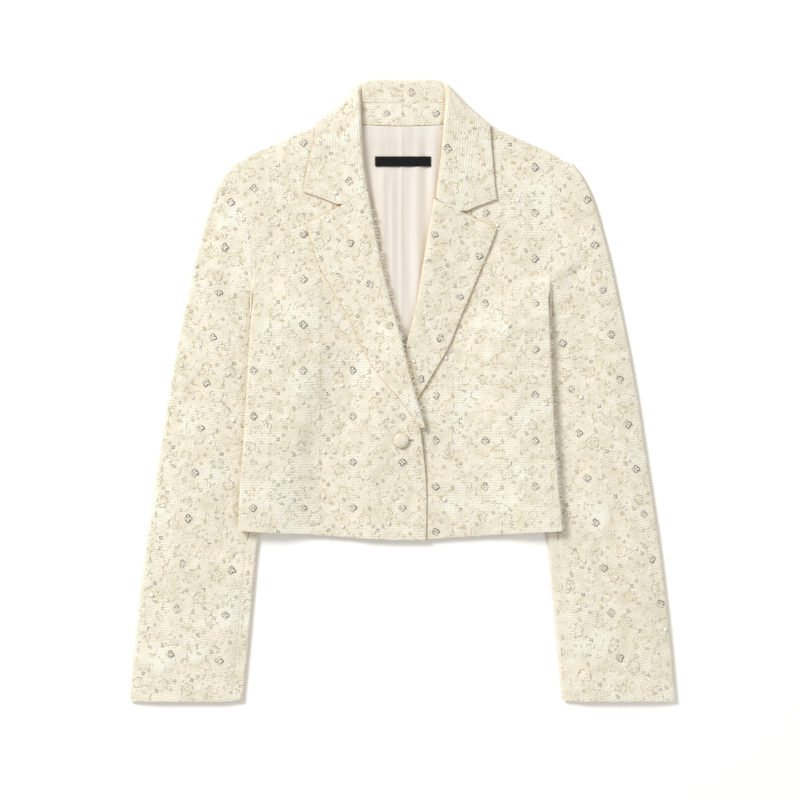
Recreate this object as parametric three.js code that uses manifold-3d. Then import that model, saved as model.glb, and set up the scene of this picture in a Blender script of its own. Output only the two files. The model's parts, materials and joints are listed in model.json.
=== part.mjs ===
// A cropped one-button blazer in cream boucle, laid flat on its back: the sleeves are drawn
// down beside the body and run under its sides, the side panels are tucked in between front
// and back, the lapels are turned back over the chest and the back of the collar is folded
// under the neck. Millimetres, +Z up, +Y towards the collar.
// Right and left are the wearer's, so the right front is at -X and laps over the left one.
// A distance named out is measured from the centre line towards the piece's own side.
import * as THREE from "three";
import { mergeVertices } from "three/addons/utils/BufferGeometryUtils.js";
import Module from "manifold-3d";

const wasm = await Module();
wasm.setup();

const { lerp: mix, smoothstep: ease, clamp, degToRad } = THREE.MathUtils;
const RIGHT = -1;
const LEFT = 1;

// Thicknesses and the clearances between pieces
const cloth = 1.6;
const liningCloth = 1.0;
const liningClear = 0.8;
const seamGap = 0.4;
const armholeGap = 1.1;
const lapelClear = 0.8;

// Heights of the layers, from the surface that the garment lies on
const sleeveStack = 4.4;
const sleevePuff = 2.4;
const backOverSleeve = 5.2;
const backOverCollar = 2.2;
const frontOverBack = 4.2;
const tuckHeight = 3.4;

// The side tuck: the turned legs of front and back, and how far the side panel runs in
const frontCurl = 2.2;
const backCurl = 1.9;
const backInset = 1.6;
const tuckLeg = 8.6;
const tuckDepth = 58;
const tuckTopY = 78;
const armholeOpenY = 112;

const cuffY = -350.5;
const hemY = -158;
const shoulderEndY = 258;

// The body's side edges: folds below the armhole, and the armhole seam above it
const bodyEdge = [
  { y: -158, right: 185.3, left: 180 },
  { y: -126, right: 184.6, left: 176.8 },
  { y: -83, right: 181, left: 173.5 },
  { y: -11, right: 176.6, left: 169 },
  { y: 60, right: 172.4, left: 165.8 },
  { y: 112, right: 169.2, left: 165.2 },
  { y: 128, right: 169.4, left: 167.6 },
  { y: 138, right: 169.6, left: 181 },
  { y: 150, right: 170, left: 191 },
  { y: 172, right: 171, left: 193.4 },
  { y: 196, right: 174, left: 195 },
  { y: 216, right: 179.8, left: 196.2 },
  { y: 236, right: 184, left: 193.6 },
  { y: 258, right: 185.4, left: 184 },
];

// The front edge of each front, and the roll line of its lapel further up
const rollLine = [
  { y: -168, right: -25.8, left: -27, radius: 2.2 },
  { y: -100, right: -26, left: -27, radius: 2.2 },
  { y: -62, right: -27.2, left: -27, radius: 2.2 },
  { y: -43, right: -25.6, left: -25.6, radius: 2.2 },
  { y: -20, right: -18.9, left: -19.6, radius: 2.3 },
  { y: 18, right: -8.6, left: -8, radius: 2.5 },
  { y: 69, right: 4.1, left: 8.2, radius: 2.8 },
  { y: 105, right: 14.4, left: 16.3, radius: 3.1 },
  { y: 132, right: 20.6, left: 20.6, radius: 3.3 },
  { y: 163, right: 27.6, left: 25.7, radius: 3.4 },
  { y: 192, right: 33, left: 30.6, radius: 3.5 },
  { y: 227, right: 39.2, left: 36.4, radius: 3.5 },
];

// Rows across each lapel, from the roll line to the outer edge
const lapelRows = {
  [RIGHT]: [
    { rollY: -41, out: -20.4, y: -42 },
    { rollY: -30, out: -13.6, y: -33 },
    { rollY: -8, out: 4, y: -9 },
    { rollY: 20, out: 27.6, y: 18 },
    { rollY: 55, out: 48, y: 53 },
    { rollY: 90, out: 60.5, y: 82 },
    { rollY: 125, out: 77, y: 110 },
    { rollY: 160, out: 92.5, y: 137 },
    { rollY: 195, out: 102.4, y: 165 },
    { rollY: 225.4, out: 108.6, y: 187.4 },
  ],
  [LEFT]: [
    { rollY: -41, out: -20.4, y: -42 },
    { rollY: -30, out: -10, y: -30 },
    { rollY: -8, out: 16, y: -8 },
    { rollY: 20, out: 34, y: 19.5 },
    { rollY: 54, out: 51, y: 49 },
    { rollY: 88, out: 63.5, y: 79 },
    { rollY: 122, out: 76, y: 109 },
    { rollY: 154, out: 87.4, y: 136 },
    { rollY: 186, out: 97.6, y: 160 },
    { rollY: 216, out: 105.4, y: 182.2 },
  ],
};
const lapelLeg = 5.6;
const frontPastRoll = 6.4;

// The neck edge of the fronts, hidden under the collar
const neckRows = [
  { y: 244, out: 53 },
  { y: 266, out: 57 },
  { y: 292, out: 60.5 },
  { y: 314, out: 64 },
];

// Where the rows of front and back end at the side
const panelSideYs = [-158, -116, -74, -32, 10, 50, 84, 112, 128, 138, 150, 172, 196, 216, 236, 258];

// The neck and shoulder edge of the back, from the centre back outwards
const shoulderLine = [
  { out: 0, y: 322.6 },
  { out: 44, y: 321 },
  { out: 63, y: 314 },
  { out: 80, y: 305 },
  { out: 98, y: 297 },
  { out: 120, y: 288.8 },
  { out: 150, y: 275.4 },
  { out: 167, y: 268.4 },
  { out: 178, y: 262.8 },
  { out: 186.5, y: 258 },
];

// The hem of the fronts dips towards the closure
const hemLine = [
  { out: -28, y: -168.4 },
  { out: 20, y: -168 },
  { out: 60, y: -165.4 },
  { out: 120, y: -161.4 },
  { out: 186, y: -158 },
];

// The two folds of a sleeve that lies flat
const sleeveFolds = [
  { y: -350.5, outer: 308, inner: 181 },
  { y: -304, outer: 304, inner: 176.4 },
  { y: -259, outer: 299.4, inner: 172 },
  { y: -214, outer: 294.4, inner: 168.4 },
  { y: -169, outer: 288.7, inner: 163.6 },
  { y: -124, outer: 282, inner: 154.5 },
  { y: -78, outer: 275.2, inner: 143 },
  { y: -33, outer: 268.4, inner: 129.5 },
  { y: 12, outer: 261.4, inner: 114.5 },
  { y: 57, outer: 252.8, inner: 101 },
  { y: 102, outer: 243.6, inner: 98 },
  { y: 147, outer: 234, inner: 98 },
  { y: 181, outer: 225, inner: 98 },
  { y: 215, outer: 215.2, inner: 98 },
  { y: 236, outer: 206, inner: 98 },
  { y: 249, outer: 197.2, inner: 98 },
  { y: 258, outer: 190, inner: 98 },
];

// Rows across the head of a sleeve. The first ones start on the armhole, and the last ones
// come off it and slip under the body.
const sleeveHeadRows = [
  { frontY: 255, outerY: 256.5, pastEdge: 1.4 },
  { frontY: 247, outerY: 251 },
  { frontY: 236, outerY: 241 },
  { frontY: 216, outerY: 221 },
  { frontY: 196, outerY: 200 },
  { frontY: 172, outerY: 175 },
  { frontY: 150, outerY: 154 },
  { frontY: 138, outerY: 144 },
  { frontY: 128, outerY: 134 },
  { frontY: 116, outerY: 124, pastEdge: 1.6, frontZ: 8.2 },
  { frontY: 104, outerY: 114, pastEdge: 2.4, frontZ: 6.6 },
  { frontY: 92, outerY: 104, pastEdge: 2.8, frontZ: 4.8 },
  { frontY: 80, outerY: 94, pastEdge: -9, frontZ: 4.4 },
  { frontY: 66, outerY: 83, pastEdge: -34, frontZ: 4.4 },
];

// Rows across both pieces of the sleeve below its head, from the forearm seam to the outer fold
const sleeveRows = [
  { frontY: 54, outerY: 72 },
  { frontY: 16, outerY: 38 },
  { frontY: -28, outerY: -6 },
  { frontY: -74, outerY: -54 },
  { frontY: -122, outerY: -106 },
  { frontY: -170, outerY: -160 },
  { frontY: -230, outerY: -224 },
  { frontY: -290, outerY: -287 },
  { frontY: cuffY, outerY: cuffY },
];
const forearmSeamIn = 12;
const hindarmSeamIn = 38;

// A long soft trough down the front of the left sleeve
const sleeveTrough = { depth: 1.5, width: 9, topY: 150, bottomY: -175 };
const troughLine = [
  { y: 130, x: 196 },
  { y: 80, x: 202 },
  { y: -10, x: 200 },
  { y: -140, x: 204.5 },
];

// Rows round the collar, from the gorge to the centre back: the seam that joins it to the neck,
// the roll line, the middle and the outer edge of the fall. face is the way its right side
// looks: 0 is up, over the chest, and 180 is down, under the neck.
const gorgeRows = {
  [RIGHT]: [
    { face: 0, rollZ: 7.9, edgeZ: 8.5,
      seam: [44.4, 224.9], roll: [39.6, 227.2], mid: [69.8, 210.4], edge: [112.4, 223.8] },
    { face: 0, rollZ: 7.9, edgeZ: 8.5,
      seam: [47.2, 241], roll: [42, 243], mid: [74.6, 228], edge: [110.4, 237] },
    { face: 0, rollZ: 8.4, edgeZ: 8.9,
      seam: [50, 263.6], roll: [44.8, 266], mid: [75, 260], edge: [105, 262] },
    { face: 0, rollZ: 9.8, edgeZ: 10.2,
      seam: [51.6, 293.4], roll: [46.4, 296], mid: [73, 290], edge: [99.8, 284] },
  ],
  [LEFT]: [
    { face: 0, rollZ: 7.9, edgeZ: 8.5,
      seam: [40.4, 216.3], roll: [36.8, 217.9], mid: [66.6, 204.4], edge: [105.6, 215.2] },
    { face: 0, rollZ: 7.9, edgeZ: 8.5,
      seam: [44.6, 237.2], roll: [39.2, 239.5], mid: [70, 225], edge: [103.6, 230] },
    { face: 0, rollZ: 8.4, edgeZ: 8.9,
      seam: [48.4, 264], roll: [42.8, 266], mid: [72, 260], edge: [101.4, 256] },
    { face: 0, rollZ: 9.8, edgeZ: 10.2,
      seam: [50.4, 293.6], roll: [45.2, 296], mid: [71.6, 290], edge: [98.8, 282] },
  ],
};
const neckTurnRows = [
  { face: 14, rollZ: 9.8, edgeZ: 10,
    seam: [53.2, 317.8], roll: [47.2, 320], mid: [72.4, 309], edge: [98, 295.4] },
  { face: 52, rollZ: 8.2, edgeZ: 8.2,
    seam: [54.2, 326.6], roll: [47.8, 337], mid: [72.4, 319], edge: [97.4, 300.8] },
  { face: 98, rollZ: 6, edgeZ: 5,
    seam: [51.4, 326], roll: [46.2, 344.6], mid: [71, 323.6], edge: [95.6, 302.2] },
  { face: 150, rollZ: 3.9, edgeZ: 1.5,
    seam: [46.4, 325], roll: [41.6, 348.8], mid: [67, 323.4], edge: [92.8, 301.8] },
  { face: 180, rollZ: 2.9, edgeZ: 0,
    seam: [36, 324.2], roll: [34, 350.3], mid: [57, 324], edge: [84, 299.2] },
  { face: 180, rollZ: 2.9, edgeZ: 0,
    seam: [18, 323.8], roll: [18, 350.3], mid: [30, 324], edge: [44, 298] },
];
const centreBackRow = {
  face: 180, rollZ: 2.9, edgeZ: 0, seam: [0, 323.6], roll: [0, 350.3], mid: [0, 324], edge: [0, 297.4],
};
const collarBend = { chest: 3.5, back: 2.9 };

// The shell-cloth facing inside the back neck, and the lining below it
const facing = { halfWidth: 51, topY: 322.8, bottomY: 300.6, dip: 2.4 };
const lining = { halfWidth: 57, bottomY: -140 };
const liningFolds = [
  { x: 0.5, width: 2.6, height: 0.8, topY: 296, bottomY: 20 },
  { x: -21, width: 5, height: 0.7, topY: 245, bottomY: 60 },
  { x: 17, width: 6, height: 0.6, topY: 250, bottomY: 90 },
];

const label = { width: 63, height: 11.4, y: 258.2, thickness: 0.8, lift: 1.2 };
const button = { x: -2.2, y: -56, radius: 8.7, height: 4.4, shank: 1.5 };
const buttonhole = { round: 1.9, slit: 0.5, reach: 13.2 };

// A smooth curve through one column of a table, looked up by another column
function column(rows, key, name) {
  const sorted = [...rows].sort((a, b) => a[key] - b[key]);
  const keys = Float64Array.from(sorted, (row) => row[key]);
  const curve = new THREE.CubicInterpolant(keys, Float64Array.from(sorted, (row) => row[name]), 1);
  return (at) => curve.evaluate(clamp(at, keys[0], keys[keys.length - 1]))[0];
}

const edgeOf = { [RIGHT]: column(bodyEdge, "y", "right"), [LEFT]: column(bodyEdge, "y", "left") };
const rollOf = { [RIGHT]: column(rollLine, "y", "right"), [LEFT]: column(rollLine, "y", "left") };
const rollRadius = column(rollLine, "y", "radius");
const shoulderAt = column(shoulderLine, "out", "y");
const hemAt = column(hemLine, "out", "y");
const sleeveOuter = column(sleeveFolds, "y", "outer");
const sleeveInner = column(sleeveFolds, "y", "inner");
const troughAt = column(troughLine, "y", "x");

const steps = (count) => Array.from({ length: count + 1 }, (_, i) => i / count);
const point = (x, y, z) => new THREE.Vector3(x, y, z);

// The underside of the back, which bridges the sleeves and the back of the collar
function backUnderside(x, y) {
  const out = Math.abs(x);
  const inner = sleeveInner(y);
  const sleeveEndY = 54 + 0.64 * (out - 114);
  const overSleeve = ease(out, inner - 48, inner - 8) * (1 - ease(y, sleeveEndY + 14, sleeveEndY + 64));
  const overCollar = ease(y, 264, 288) * (1 - ease(out, 106, 134));
  return backOverSleeve * overSleeve + backOverCollar * overCollar;
}

// The left front and its lapel lift the right front where it laps over them
function lapLift(x, y) {
  const edge = rollOf[LEFT](y);
  const height = mix(cloth + 0.6, 2 * rollRadius(y) + 0.8, ease(y, -62, -44));
  return height * ease(x, edge - 44, edge - 8) * (1 - ease(y, 66, 104));
}

// The underside of a front, which comes down to the back along the shoulder seam
function frontUnderside(x, y, side) {
  const out = Math.abs(x);
  const edge = edgeOf[side](y);
  const tuck = tuckHeight * ease(out, edge - 95, edge - 52) * (1 - ease(y, 85, 140));
  const lift = side === RIGHT ? lapLift(x, y) : 0;
  const open = frontOverBack + tuck + lift;
  const closed = cloth + seamGap;
  const shoulder = out > 60 ? ease(y, shoulderAt(out) - 15, shoulderAt(out) - 1) : 0;
  return backUnderside(x, y) + mix(open, closed, shoulder);
}
const frontTop = (x, y, side) => frontUnderside(x, y, side) + cloth;

// The top of a sleeve: pressed flat where the body lies on it, and a little puffed elsewhere
function sleeveTop(x, y, side) {
  const out = Math.abs(x);
  const besideBody = ease(out, edgeOf[side](y) + 3, edgeOf[side](y) + 36);
  const belowHem = 1 - ease(y, -206, -168);
  const betweenFolds = ease(sleeveOuter(y) - out, 2, 26) * ease(out - sleeveInner(y), 2, 26);
  const puff = sleevePuff * Math.max(besideBody, belowHem) * betweenFolds;
  return sleeveStack + puff - (side === LEFT ? troughDepth(x, y) : 0);
}

function troughDepth(x, y) {
  const { depth, width, topY, bottomY } = sleeveTrough;
  const along = ease(y, bottomY, bottomY + 85) * (1 - ease(y, topY - 30, topY));
  const away = (x - troughAt(y)) / width;
  return depth * along * Math.exp(-away * away);
}

// A closed surface with its faces turned outwards
function closedGeometry(points, index) {
  let volume = 0;
  for (let i = 0; i < index.length; i += 3) {
    const [a, b, c] = index.slice(i, i + 3).map((vertex) => points[vertex]);
    volume += a.dot(b.clone().cross(c));
  }
  if (volume < 0) index.reverse();
  const geometry = new THREE.BufferGeometry().setFromPoints(points);
  geometry.setIndex(index);
  return geometry;
}

// A wall whose one face is a grid of points, by row and by column. It grows from the grid by its
// thickness, along the cross product of a step to the next column and one to the next row.
function wall(grid, thickness) {
  const rows = grid.length;
  const cols = grid[0].length;
  const at = (r, c) => grid[clamp(r, 0, rows - 1)][clamp(c, 0, cols - 1)];
  const normalAt = (r, c) => {
    const along = at(r + 1, c).clone().sub(at(r - 1, c));
    const across = at(r, c + 1).clone().sub(at(r, c - 1));
    return across.cross(along).normalize();
  };
  const face = grid.flat();
  const back = grid.flatMap((row, r) =>
    row.map((vertex, c) => vertex.clone().addScaledVector(normalAt(r, c), thickness)));
  const index = [];
  const quad = (a, b, c, d) => index.push(a, b, c, a, c, d);
  const other = rows * cols;
  for (let r = 0; r < rows - 1; r++) {
    for (let c = 0; c < cols - 1; c++) {
      const a = r * cols + c;
      quad(a, a + cols, a + cols + 1, a + 1);
      quad(other + a, other + a + 1, other + a + cols + 1, other + a + cols);
    }
  }
  const rim = (a, b) => quad(a, b, other + b, other + a);
  const lastRow = (rows - 1) * cols;
  for (let c = 0; c < cols - 1; c++) {
    rim(c, c + 1);
    rim(lastRow + c + 1, lastRow + c);
  }
  for (let r = 0; r < rows - 1; r++) {
    rim((r + 1) * cols, r * cols);
    rim(r * cols + cols - 1, (r + 1) * cols + cols - 1);
  }
  return closedGeometry([...face, ...back], index);
}

// A grid with more rows, on smooth curves through each column of a coarse one
function refined(grid, perSpan) {
  const curves = grid[0].map((_, c) => {
    const points = grid.map((row) => row[c]);
    return new THREE.CatmullRomCurve3(points, false, "centripetal");
  });
  return steps((grid.length - 1) * perSpan).map((t) => curves.map((curve) => curve.getPoint(t)));
}

// The side of a front or back from near its edge: below the armhole a curl and a leg that is
// turned in, and beside the armhole a flat edge
function sideColumns(y, side, inset, radius, turn, surface) {
  const edge = edgeOf[side](y) - inset;
  const tucked = 1 - ease(y, tuckTopY, armholeOpenY);
  const curl = steps(5).map((t) => ({
    out: edge - radius + radius * Math.sin(Math.PI * t),
    fall: turn * radius * (1 - Math.cos(Math.PI * t)),
  }));
  curl.push({ out: edge - tuckLeg, fall: turn * 2 * radius });
  return curl.map(({ out, fall }, i) => {
    const flatOut = edge + inset - 3 + (3 * i) / (curl.length - 1);
    const x = side * mix(flatOut, out, tucked);
    return point(x, y, surface(side * Math.min(out, edge - 1), y) + fall * tucked);
  });
}

function backPanel() {
  const colsPerSide = 12;
  const grid = panelSideYs.map((sideY) => {
    const v = (sideY - hemY) / (shoulderEndY - hemY);
    const turned = (side) => sideColumns(sideY, side, backInset, backCurl, 1, backUnderside);
    const innermost = { [RIGHT]: turned(RIGHT)[0].x, [LEFT]: turned(LEFT)[0].x };
    const between = steps(2 * colsPerSide).slice(1, -1).map((u) => {
      const x = mix(innermost[RIGHT], innermost[LEFT], u);
      const y = mix(hemY, shoulderAt(Math.abs(x)), v);
      return point(x, y, backUnderside(x, y));
    });
    return [...turned(RIGHT).reverse(), ...between, ...turned(LEFT)];
  });
  return wall(grid, cloth);
}

// The inner edge of a front: its front edge, then just outside the roll line, then the neck
function frontInnerEdge(side) {
  const below = [-168.2, -106].map((y) => ({ out: rollOf[side](y), y }));
  const beside = lapelRows[side].map(({ rollY }) => ({ out: rollOf[side](rollY) + frontPastRoll, y: rollY }));
  return [...below, ...beside, ...neckRows];
}

function frontPanel(side) {
  const surface = (x, y) => frontTop(x, y, side);
  const inner = frontInnerEdge(side);
  const grid = inner.map((start, row) => {
    const turned = sideColumns(panelSideYs[row], side, 0, frontCurl, -1, surface);
    const across = steps(10).slice(0, -1).map((t) => {
      const x = mix(side * start.out, turned[0].x, t);
      let y = mix(start.y, panelSideYs[row], t);
      if (row === 0) y = hemAt(side * x);
      if (row === inner.length - 1) y = shoulderAt(side * x) - 0.2;
      return point(x, y, surface(x, y));
    });
    return [...across, ...turned];
  });
  return wall(grid, -side * cloth);
}

// The right front has a worked buttonhole, round at the shank and a slit towards the edge
function withButtonhole(geometry) {
  const shape = new THREE.Shape();
  const { round, slit, reach } = buttonhole;
  const corner = Math.asin(slit / round);
  shape.absarc(0, 0, round, corner, -corner);
  shape.lineTo(reach, -slit);
  shape.lineTo(reach, slit);
  const cutter = new THREE.ExtrudeGeometry(shape, { depth: 30, bevelEnabled: false, curveSegments: 8 });
  cutter.translate(button.x, button.y, 0);
  return fromSolid(solidOf(geometry).subtract(solidOf(cutter)));
}

function solidOf(geometry) {
  const bare = geometry.clone();
  bare.deleteAttribute("normal");
  bare.deleteAttribute("uv");
  const merged = mergeVertices(bare);
  return new wasm.Manifold(new wasm.Mesh({
    numProp: 3,
    vertProperties: Float32Array.from(merged.attributes.position.array),
    triVerts: Uint32Array.from(merged.index.array),
  }));
}

function fromSolid(solid) {
  const mesh = solid.getMesh();
  const geometry = new THREE.BufferGeometry();
  geometry.setAttribute("position", new THREE.BufferAttribute(mesh.vertProperties, 3));
  geometry.setIndex(new THREE.BufferAttribute(mesh.triVerts, 1));
  return geometry;
}

// The side panel, folded in half lengthwise between the turned legs of front and back
function sidePanel(side) {
  const grid = steps(7).map((v) => {
    const y = mix(hemY, tuckTopY, v);
    const start = edgeOf[side](y) - tuckLeg - seamGap;
    const end = edgeOf[side](y) - tuckDepth;
    const legTop = (x) => frontTop(x, y, side) - 2 * frontCurl + cloth;
    const legBottom = (x) => backUnderside(x, y) + 2 * backCurl - cloth + 0.5 * ease(start - side * x, 2, 20);
    const radius = (legTop(side * end) - legBottom(side * end)) / 2;
    const across = [0, 0.5, 1].map((t) => side * mix(start, end + radius, t));
    const bend = steps(4).slice(1, -1).map((t) => {
      const x = side * (end + radius - radius * Math.sin(Math.PI * t));
      return point(x, y, legBottom(side * end) + radius * (1 + Math.cos(Math.PI * t)));
    });
    const upper = across.map((x) => point(x, y, legTop(x)));
    const lower = [...across].reverse().map((x) => point(x, y, legBottom(x)));
    lower[lower.length - 1].x -= side * backInset;
    return [...upper, ...bend, ...lower];
  });
  return wall(grid, side * cloth);
}

// A lapel: a short leg under the roll, the roll, and the part that lies back over the front
function lapel(side) {
  const grid = lapelRows[side].map((row) => {
    const roll = new THREE.Vector2(side * rollOf[side](row.rollY), row.rollY);
    const across = new THREE.Vector2(side * row.out, row.y).sub(roll);
    const reach = across.length();
    across.normalize();
    const radius = rollRadius(row.rollY);
    const onLine = (distance) => roll.clone().addScaledVector(across, distance);
    const under = frontUnderside(onLine(radius).x, onLine(radius).y, side);
    const leg = [lapelLeg, radius + 0.8].map((distance) => {
      const { x, y } = onLine(distance);
      return point(x, y, under);
    });
    const bend = steps(6).map((t) => {
      const { x, y } = onLine(radius * (1 - Math.sin(Math.PI * t)));
      return point(x, y, under + radius * (1 - Math.cos(Math.PI * t)));
    });
    const lying = (distance) => frontTop(onLine(distance).x, onLine(distance).y, side) + lapelClear + cloth;
    const spring = under + 2 * radius - lying(radius);
    const top = steps(7).slice(1).map((t) => {
      const distance = mix(radius, reach, t);
      const { x, y } = onLine(distance);
      return point(x, y, lying(distance) + spring * (1 - ease(distance, radius, radius + 46)));
    });
    return [...leg, ...bend, ...top];
  });
  return wall(refined(grid, 2), -side * cloth);
}

// One section of the collar, from its neck seam round the roll line to its outer edge
function collarSection(row, side) {
  const onFloor = ([out, y]) => point(side * out, y, 0);
  const [seam, roll, mid, edge] = [row.seam, row.roll, row.mid, row.edge].map(onFloor);
  const across = mid.clone().sub(roll).normalize();
  const turn = degToRad(row.face);
  const facing = point(-side * across.y * Math.sin(turn), side * across.x * Math.sin(turn), Math.cos(turn));
  const radius = mix(collarBend.chest, collarBend.back, row.face / 180);
  const centre = roll.clone().addScaledVector(across, radius).setZ(row.rollZ);
  const round = (angle) => centre.clone()
    .addScaledVector(across, -radius * Math.cos(angle))
    .addScaledVector(facing, radius * Math.sin(angle));
  const bend = steps(6).map((t) => round(Math.PI * (t - 0.5)));
  const legStart = bend[0];
  seam.z = legStart.z;
  const leg = [0, 0.34, 0.67].map((t) => seam.clone().lerp(legStart, t));
  const fallStart = bend[bend.length - 1];
  mid.z = mix(fallStart.z, row.edgeZ, 0.6);
  edge.z = row.edgeZ;
  const halfway = (a, b) => a.clone().lerp(b, 0.5);
  const fall = [halfway(fallStart, mid), mid, halfway(mid, edge), edge];
  return [...leg, ...bend, ...fall];
}

function collar() {
  const half = (side) => [...gorgeRows[side], ...neckTurnRows].map((row) => collarSection(row, side));
  const grid = [...half(RIGHT), collarSection(centreBackRow, LEFT), ...half(LEFT).reverse()];
  const smooth = refined(grid, 2);
  smooth.flat().forEach((vertex) => vertex.setZ(Math.max(vertex.z, 0)));
  return wall(smooth, cloth);
}

// A sheet that lies on the back, given by its outline and its height above the back
function sheetOnBack(cols, rows, halfWidth, topAt, bottomAt, lift) {
  const grid = steps(rows).map((v) => steps(cols).map((u) => {
    const x = mix(-halfWidth, halfWidth, u);
    const y = mix(bottomAt(x), topAt(x), v);
    return point(x, y, backUnderside(x, y) + cloth + lift(x, y));
  }));
  return grid;
}

const facingDip = (x) => facing.bottomY - facing.dip * (1 - (x / facing.halfWidth) ** 2);

function backFacing() {
  const topAt = (x) => facing.topY - (Math.abs(x) > 40 ? 0.16 * (Math.abs(x) - 40) : 0);
  return wall(sheetOnBack(10, 3, facing.halfWidth, topAt, facingDip, () => seamGap), cloth);
}

function foldHeight(x, y) {
  return liningFolds.reduce((sum, fold) => {
    const away = (x - fold.x) / fold.width;
    const along = ease(y, fold.bottomY, fold.bottomY + 60) * (1 - ease(y, fold.topY - 24, fold.topY));
    return sum + fold.height * along * Math.exp(-away * away);
  }, 0);
}

function liningPanel() {
  const topAt = (x) => facingDip(x) - seamGap - 26 * ease(Math.abs(x), 38, lining.halfWidth);
  const lift = (x, y) => liningClear + foldHeight(x, y);
  const grid = sheetOnBack(22, 9, lining.halfWidth, topAt, () => lining.bottomY, lift);
  return wall(grid, liningCloth);
}

function neckLabel() {
  const grid = steps(2).map((v) => steps(8).map((u) => {
    const x = label.width * (u - 0.5);
    const y = label.y + label.height * (v - 0.5);
    return point(x, y, backUnderside(x, y) + cloth + liningClear + liningCloth + label.lift);
  }));
  return wall(grid, label.thickness);
}

// One section of a sleeve between two distances from the centre line. It runs on the top face
// from its front end to a fold, round the fold and back on the underside.
function sleeveSection({ side, fold, front, back, frontZ, yAt, colsTop, colsUnder }) {
  const away = Math.sign(fold - front);
  const radius = sleeveStack / 2;
  const turn = fold - away * radius;
  const onTop = steps(colsTop).map((t) => {
    const out = mix(front, turn, t);
    const y = yAt(out);
    const lying = sleeveTop(side * out, y, side);
    return point(side * out, y, mix(frontZ ?? lying, lying, ease(Math.abs(out - front), 0, 28)));
  });
  const bend = steps(5).slice(1, -1).map((t) => {
    const out = turn + away * radius * Math.sin(Math.PI * t);
    return point(side * out, yAt(out), radius * (1 + Math.cos(Math.PI * t)));
  });
  const under = steps(colsUnder).map((t) => {
    const out = mix(turn, back, t);
    return point(side * out, yAt(out), 0);
  });
  return [...onTop, ...bend, ...under];
}

const slant = (row, from, to) => (out) => mix(row.frontY, row.outerY, (out - from) / (to - from));

function upperSleeve(side) {
  const head = sleeveHeadRows.map((row) => {
    const armhole = edgeOf[side](row.frontY) + armholeGap;
    const front = edgeOf[side](row.frontY) + (row.pastEdge ?? armholeGap);
    const frontZ = row.frontZ ?? frontTop(side * (armhole - 1), row.frontY, side);
    const fold = sleeveOuter(row.outerY);
    return { front, back: Math.max(armhole, front) + 0.6, frontZ, fold, yAt: slant(row, front, fold) };
  });
  const below = sleeveRows.map((row) => {
    const front = sleeveInner(row.frontY) + forearmSeamIn;
    const fold = sleeveOuter(row.outerY);
    return { front, back: fold - hindarmSeamIn, fold, yAt: slant(row, front, fold) };
  });
  const grid = [...head, ...below].map((row) => sleeveSection({ side, colsTop: 8, colsUnder: 4, ...row }));
  return wall(grid, side * cloth);
}

function underSleeve(side) {
  const grid = sleeveRows.map((row) => {
    const seam = sleeveInner(row.frontY) + forearmSeamIn;
    const outer = sleeveOuter(row.outerY);
    return sleeveSection({
      side,
      fold: sleeveInner(row.frontY),
      front: seam - seamGap,
      back: outer - hindarmSeamIn - seamGap,
      yAt: slant(row, seam, outer),
      colsTop: 2,
      colsUnder: 5,
    });
  });
  return wall(grid, -side * cloth);
}

// A cloth-covered button, domed above and sewn through its shank to the left front
function coveredButton() {
  const { radius, height, shank } = button;
  const seat = 0.4 + Math.max(...[-radius, 0, radius].map((dy) => frontTop(button.x, button.y + dy, RIGHT)));
  const foot = 0.3 + frontTop(button.x, button.y, LEFT);
  const dome = steps(5).map((t) => new THREE.Vector2(
    radius * Math.cos(0.5 * Math.PI * t),
    seat + 1.4 + (height - 1.4) * Math.sin(0.5 * Math.PI * t),
  ));
  dome[dome.length - 1].x = 0;
  const profile = [[0, foot], [shank, foot], [shank, seat], [radius - 0.8, seat], [radius, seat + 0.7]];
  const lathe = new THREE.LatheGeometry([...profile.map(([r, z]) => new THREE.Vector2(r, z)), ...dome], 24);
  lathe.rotateX(Math.PI / 2);
  lathe.translate(button.x, button.y, 0);
  return fromSolid(solidOf(lathe));
}

const boucle = { color: 0xe9e2d4, roughness: 0.95, metalness: 0 };
const satin = { color: 0xe6dbcc, roughness: 0.45, metalness: 0 };
const wovenBlack = { color: 0x17171a, roughness: 0.7, metalness: 0 };

const blazer = new THREE.Group();
function add(name, geometry, finish) {
  const mesh = new THREE.Mesh(geometry, new THREE.MeshStandardMaterial(finish));
  mesh.name = name;
  blazer.add(mesh);
}

add("back", backPanel(), boucle);
add("front_right", withButtonhole(frontPanel(RIGHT)), boucle);
add("front_left", frontPanel(LEFT), boucle);
for (const [name, side] of [["right", RIGHT], ["left", LEFT]]) {
  add(`side_${name}`, sidePanel(side), boucle);
  add(`lapel_${name}`, lapel(side), boucle);
  add(`sleeve_${name}_upper`, upperSleeve(side), boucle);
  add(`sleeve_${name}_under`, underSleeve(side), boucle);
}
add("collar", collar(), boucle);
add("back_facing", backFacing(), boucle);
add("lining_back", liningPanel(), satin);
add("label", neckLabel(), wovenBlack);
add("button", coveredButton(), boucle);

export default blazer;
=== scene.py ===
"""A cropped one-button blazer in cream boucle, laid flat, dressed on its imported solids.

Lengths in the tables are millimetres; Blender gets metres. Right and left are the wearer's,
and a distance named out is measured from the centre line towards the piece's own side.
"""
import bisect
import json
import math
import random

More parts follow.
